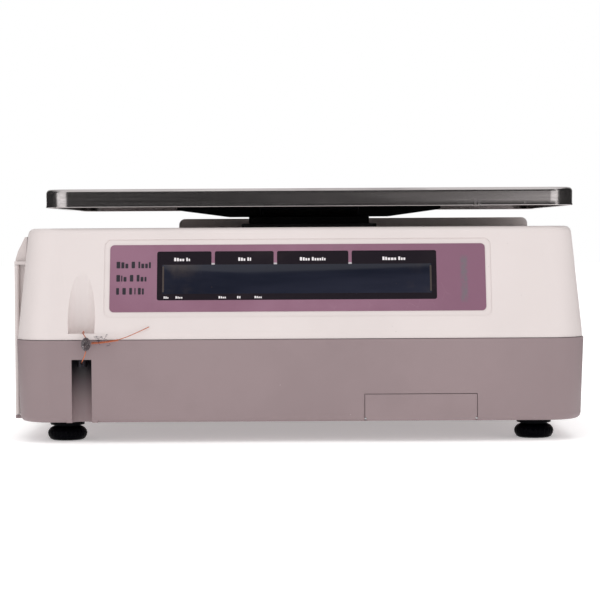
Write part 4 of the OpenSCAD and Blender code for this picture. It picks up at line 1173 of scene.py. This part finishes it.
# connectors behind the cover: insulators, pins and contacts
def buildPorts():
    low, high = cornersOf("serial_port")
    front = {"at": Vector((0, low.y, 0)), "across": Vector((1, 0, 0)), "up": Vector((0, 0, 1)),
             "out": Vector((0, -1, 0))}
    middle = (low.x + high.x) / 2
    block = Stock().slab(roundRect(middle - 10.6, middle + 10.6, 21.8, 28.2, 1.4), front, 0.01, 0.25, 0.1)
    block.piece("serialBlock", "casing", chipBlack)
    pins = Stock()
    for count, z in ((5, 26.4), (4, 23.6)):
        for i in range(count):
            x = middle + (i - (count - 1) / 2) * 2.77
            pins.turned([(0.5, 0.2), (0.5, 1.1), (0.36, 1.4), (0.05, 1.5)], (x, low.y, z), (0, -1, 0), 14)
    pins.piece("serialPins", "casing", turnedBrass)
    nuts = Stock()
    for x in (low.x + 2.4, high.x - 2.4):
        nuts.turned([(2.1, 0.02), (2.1, 1.5), (1.8, 1.9), (0.9, 1.9), (0.9, 1.2), (0.05, 1.2)],
                    (x, low.y + 3.5, 25), (0, -1, 0), 6)
    nuts.piece("serialNuts", "casing", platedSteel, slot="plated_steel")
    low, high = cornersOf("network_port")
    middle = (low.x + high.x) / 2
    contacts = Stock()
    for i in range(8):
        x = middle + (i - 3.5) * 1.1
        contacts.tube([(x, low.y + 0.8, 28.7), (x, low.y + 2.5, 28.6), (x, low.y + 6.2, 26.6)], 0.22, 6)
    contacts.piece("networkContacts", "casing", turnedBrass)
    tongue = Stock()
    boxOn(tongue, (low.x + 2.6, low.y + 4.6, 20.1), (high.x - 2.6, high.y - 1.6, 22.4), 0.3)
    tongue.piece("networkTongue", "casing", chipBlack)


buildPorts()


# printer: roll core, shaft clip, motor cap and its screws, and the windings on the power supply
def buildPrinter():
    low, high = cornersOf("label_roll")
    middle = (low + high) / 2
    core = Stock()
    for x, way in ((low.x, -1), (high.x, 1)):
        core.turned([(12.75, -0.5), (12.75, 0.02), (12.95, 0.14), (14.6, 0.14), (14.8, 0.02), (14.8, -0.5),
                     (12.75, -0.5)], (x, middle.y, middle.z), (way, 0, 0), 64)
    core.piece("rollCore", "roll", coreBoard)
    clips = Stock()
    low, high = cornersOf("idler_gear")
    middle = (low + high) / 2
    clips.turned([(2.0, 0.05), (3.9, 0.05), (4.1, 0.25), (4.1, 0.6), (3.9, 0.8), (2.0, 0.8), (2.0, 0.05)],
                 (high.x, middle.y, middle.z), (1, 0, 0), 36)
    clips.piece("idlerClip", "idler", groundSteel, slot="bright_steel")
    low, high = cornersOf("motor")
    middle = (low + high) / 2
    cap = Stock()
    cap.turned([(15.2, 0.0), (15.2, 0.5), (14.6, 0.9), (6.2, 0.9), (5.8, 1.3), (4.2, 1.3), (3.9, 0.7),
                (3.2, 0.7), (3.2, 0.0)], (low.x, middle.y, middle.z), (-1, 0, 0), 48)
    cap.piece("motorCap", "casing", platedSteel, slot="plated_steel")
    heads = Stock()
    for y in (-13.5, 13.5):
        for z in (-13.5, 13.5):
            crossHead(heads, (low.x - 0.02, middle.y + y, middle.z + z), (-1, 0, 0), 1.6, 0.9)
    heads.piece("motorScrews", "casing", darkScrewAndShade)
    low, high = cornersOf("power_supply")
    windings = Stock()
    for y in range(-128, -77, 10):
        boxOn(windings, (low.x + 10, y + 0.35, high.z - 6), (high.x - 10, y + 2.65, high.z - 5.2), 0.2)
    windings.piece("supplyMesh", "casing", chipBlack)


buildPrinter()


# head springs: closed-end coils
springLook = {"wire": 0.36, "coils": 4.5, "keep": 0.36}


def buildSprings(look):
    low, high = cornersOf("head_springs")
    r = (high.y - low.y) / 2 - 0.4
    y = (low.y + high.y) / 2
    coils = Stock()
    steps = round(look["coils"] * 20)
    for x in (low.x + r + 0.4, high.x - r - 0.4):
        line = []
        for i in range(steps + 1):
            t = i / steps
            rise = t * t * (3 - 2 * t) * 0.5 + t * 0.5  # closer coils at both ends
            a = 2 * math.pi * look["coils"] * t
            line.append((x + r * math.cos(a), y + r * math.sin(a),
                         low.z + 0.4 + rise * (high.z - low.z - 0.8)))
        coils.tube(line, look["wire"], 10)
    springs = coils.piece("headSprings", "casing", groundSteel, slot="bright_steel")
    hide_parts("head_springs")
    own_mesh(springs)


buildSprings(springLook)
print("inside made")


# the room: pale floor, white surround, a soft top lamp, and dark curtains out of sight that the steel mirrors
roomLook = {
    "floor": paint(250, 249, 249), "floorSize": 16.0, "floorGlow": 0.3, "surround": 1.0,
    "curtainNear": 0.45, "curtainAway": 3.2, "curtainFoot": 0.003, "curtainSplit": 0.5, "curtainTop": 3.4,
    "curtainTone": 0.03, "curtainPale": (0.2, 0.72, 0.5),
    # from the front, in degrees, with the right side positive, then their height
    # the gaps between them light the pan's corners
    "curtains": (("frontCurtain", -20, 13, "curtainFoot", "curtainSplit"),
                 ("upperCurtain", -20, 34, "curtainSplit", "curtainTop"),
                 ("leftCurtain", -150, -62, "curtainFoot", "curtainTop"),
                 ("rightCurtain", 44, 150, "curtainFoot", "curtainTop")),
    "lampAt": (0.1, -0.35, 1.9), "lampAim": (0.1, 0.05, 0.0), "lampSize": 2.2, "lampPower": 8.0}
cameraLook = {"at": (0.0013, -1.6785, 0.1459), "turn": 0.048, "tip": -1.794, "roll": -0.321, "lens": 128.4}


def buildRoom(look):
    scene = bpy.context.scene
    scene.view_settings.view_transform = "Standard"
    scene.view_settings.look = "None"
    world = bpy.data.worlds.new("surround")
    scene.world = world
    world.use_nodes = True
    sky = world.node_tree.nodes["Background"]
    sky.inputs["Color"].default_value = (1, 1, 1, 1)
    sky.inputs["Strength"].default_value = look["surround"]

    half = look["floorSize"] / 2
    mesh = bpy.data.meshes.new("floor")
    mesh.from_pydata([(-half, -half, 0), (half, -half, 0), (half, half, 0), (-half, half, 0)], [],
                     [(0, 1, 2, 3)])
    finish = Finish("floorPaint", Specular_IOR_Level=0.0, Emission_Color=(1, 1, 1, 1),
                    Emission_Strength=look["floorGlow"])
    drift = finish.cloud(3, 3)
    finish.feed(Base_Color=finish.mix(look["floor"], shade(look["floor"], 0.985), drift),
                Roughness=drift * 0.1 + 0.7)
    mesh.materials.append(finish.material)
    floor = bpy.data.objects.new("floor", mesh)
    scene.collection.objects.link(floor)
    floor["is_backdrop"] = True

    tone = look["curtainTone"]
    cloth = Finish("curtainCloth", Specular_IOR_Level=0.0, Roughness=1.0)
    nap = cloth.cloud(40, 2)
    # the front one pales towards its right end, low down
    near, far, pale = look["curtainPale"]
    across = cloth.axis("X")
    paler = across.step(near, far) * across.below(1.0) * cloth.axis("Z").below(look["curtainSplit"])
    dark = cloth.mix((tone, tone, tone, 1), (tone * 1.5, tone * 1.5, tone * 1.5, 1), nap)
    cloth.feed(Base_Color=cloth.mix(dark, (pale, pale * 0.97, pale * 0.97, 1), paler))
    for name, first, last, foot, top in look["curtains"]:
        points = []
        steps = 24
        for k in range(steps + 1):
            a = math.radians(first + (last - first) * k / steps)
            inner = "curtainNear" if foot == "curtainFoot" else "curtainAway"
            for away, z in ((inner, foot), ("curtainAway", foot), ("curtainAway", top)):
                points.append((math.sin(a) * look[away], -math.cos(a) * look[away], look[z]))
        curtain = bpy.data.meshes.new(name)
        curtain.from_pydata(points, [], [(3 * k + i, 3 * k + 3 + i, 3 * k + 4 + i, 3 * k + 1 + i)
                                         for k in range(steps) for i in (0, 1)])
        curtain.materials.append(cloth.material)
        made = bpy.data.objects.new(name, curtain)
        scene.collection.objects.link(made)
        made.visible_camera = False
        made.visible_diffuse = False
        made.visible_shadow = False
        made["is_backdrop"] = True

    lamp = bpy.data.lights.new("topLamp", "AREA")
    lamp.size = look["lampSize"]
    lamp.energy = look["lampPower"]
    made = bpy.data.objects.new("topLamp", lamp)
    made.location = look["lampAt"]
    made.rotation_mode = "QUATERNION"
    made.rotation_quaternion = (Vector(look["lampAim"]) - Vector(look["lampAt"])).to_track_quat("-Z", "Y")
    made.visible_glossy = False  # the steel doesn't mirror it
    scene.collection.objects.link(made)


def buildCamera(look):
    data = bpy.data.cameras.new("camera")
    data.lens = look["lens"]
    data.sensor_width = 36.0
    data.clip_start = 0.05
    data.clip_end = 30.0
    camera = bpy.data.objects.new("camera", data)
    bpy.context.scene.collection.objects.link(camera)
    level = Matrix.Rotation(math.radians(90 + look["tip"]), 4, "X")
    turned = Matrix.Rotation(math.radians(look["turn"]), 4, "Z")
    rolled = Matrix.Rotation(math.radians(look["roll"]), 4, "Z")
    camera.matrix_world = Matrix.Translation(look["at"]) @ turned @ level @ rolled
    bpy.context.scene.camera = camera


buildRoom(roomLook)
buildCamera(cameraLook)
print("room, lamp and camera set")

low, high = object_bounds()
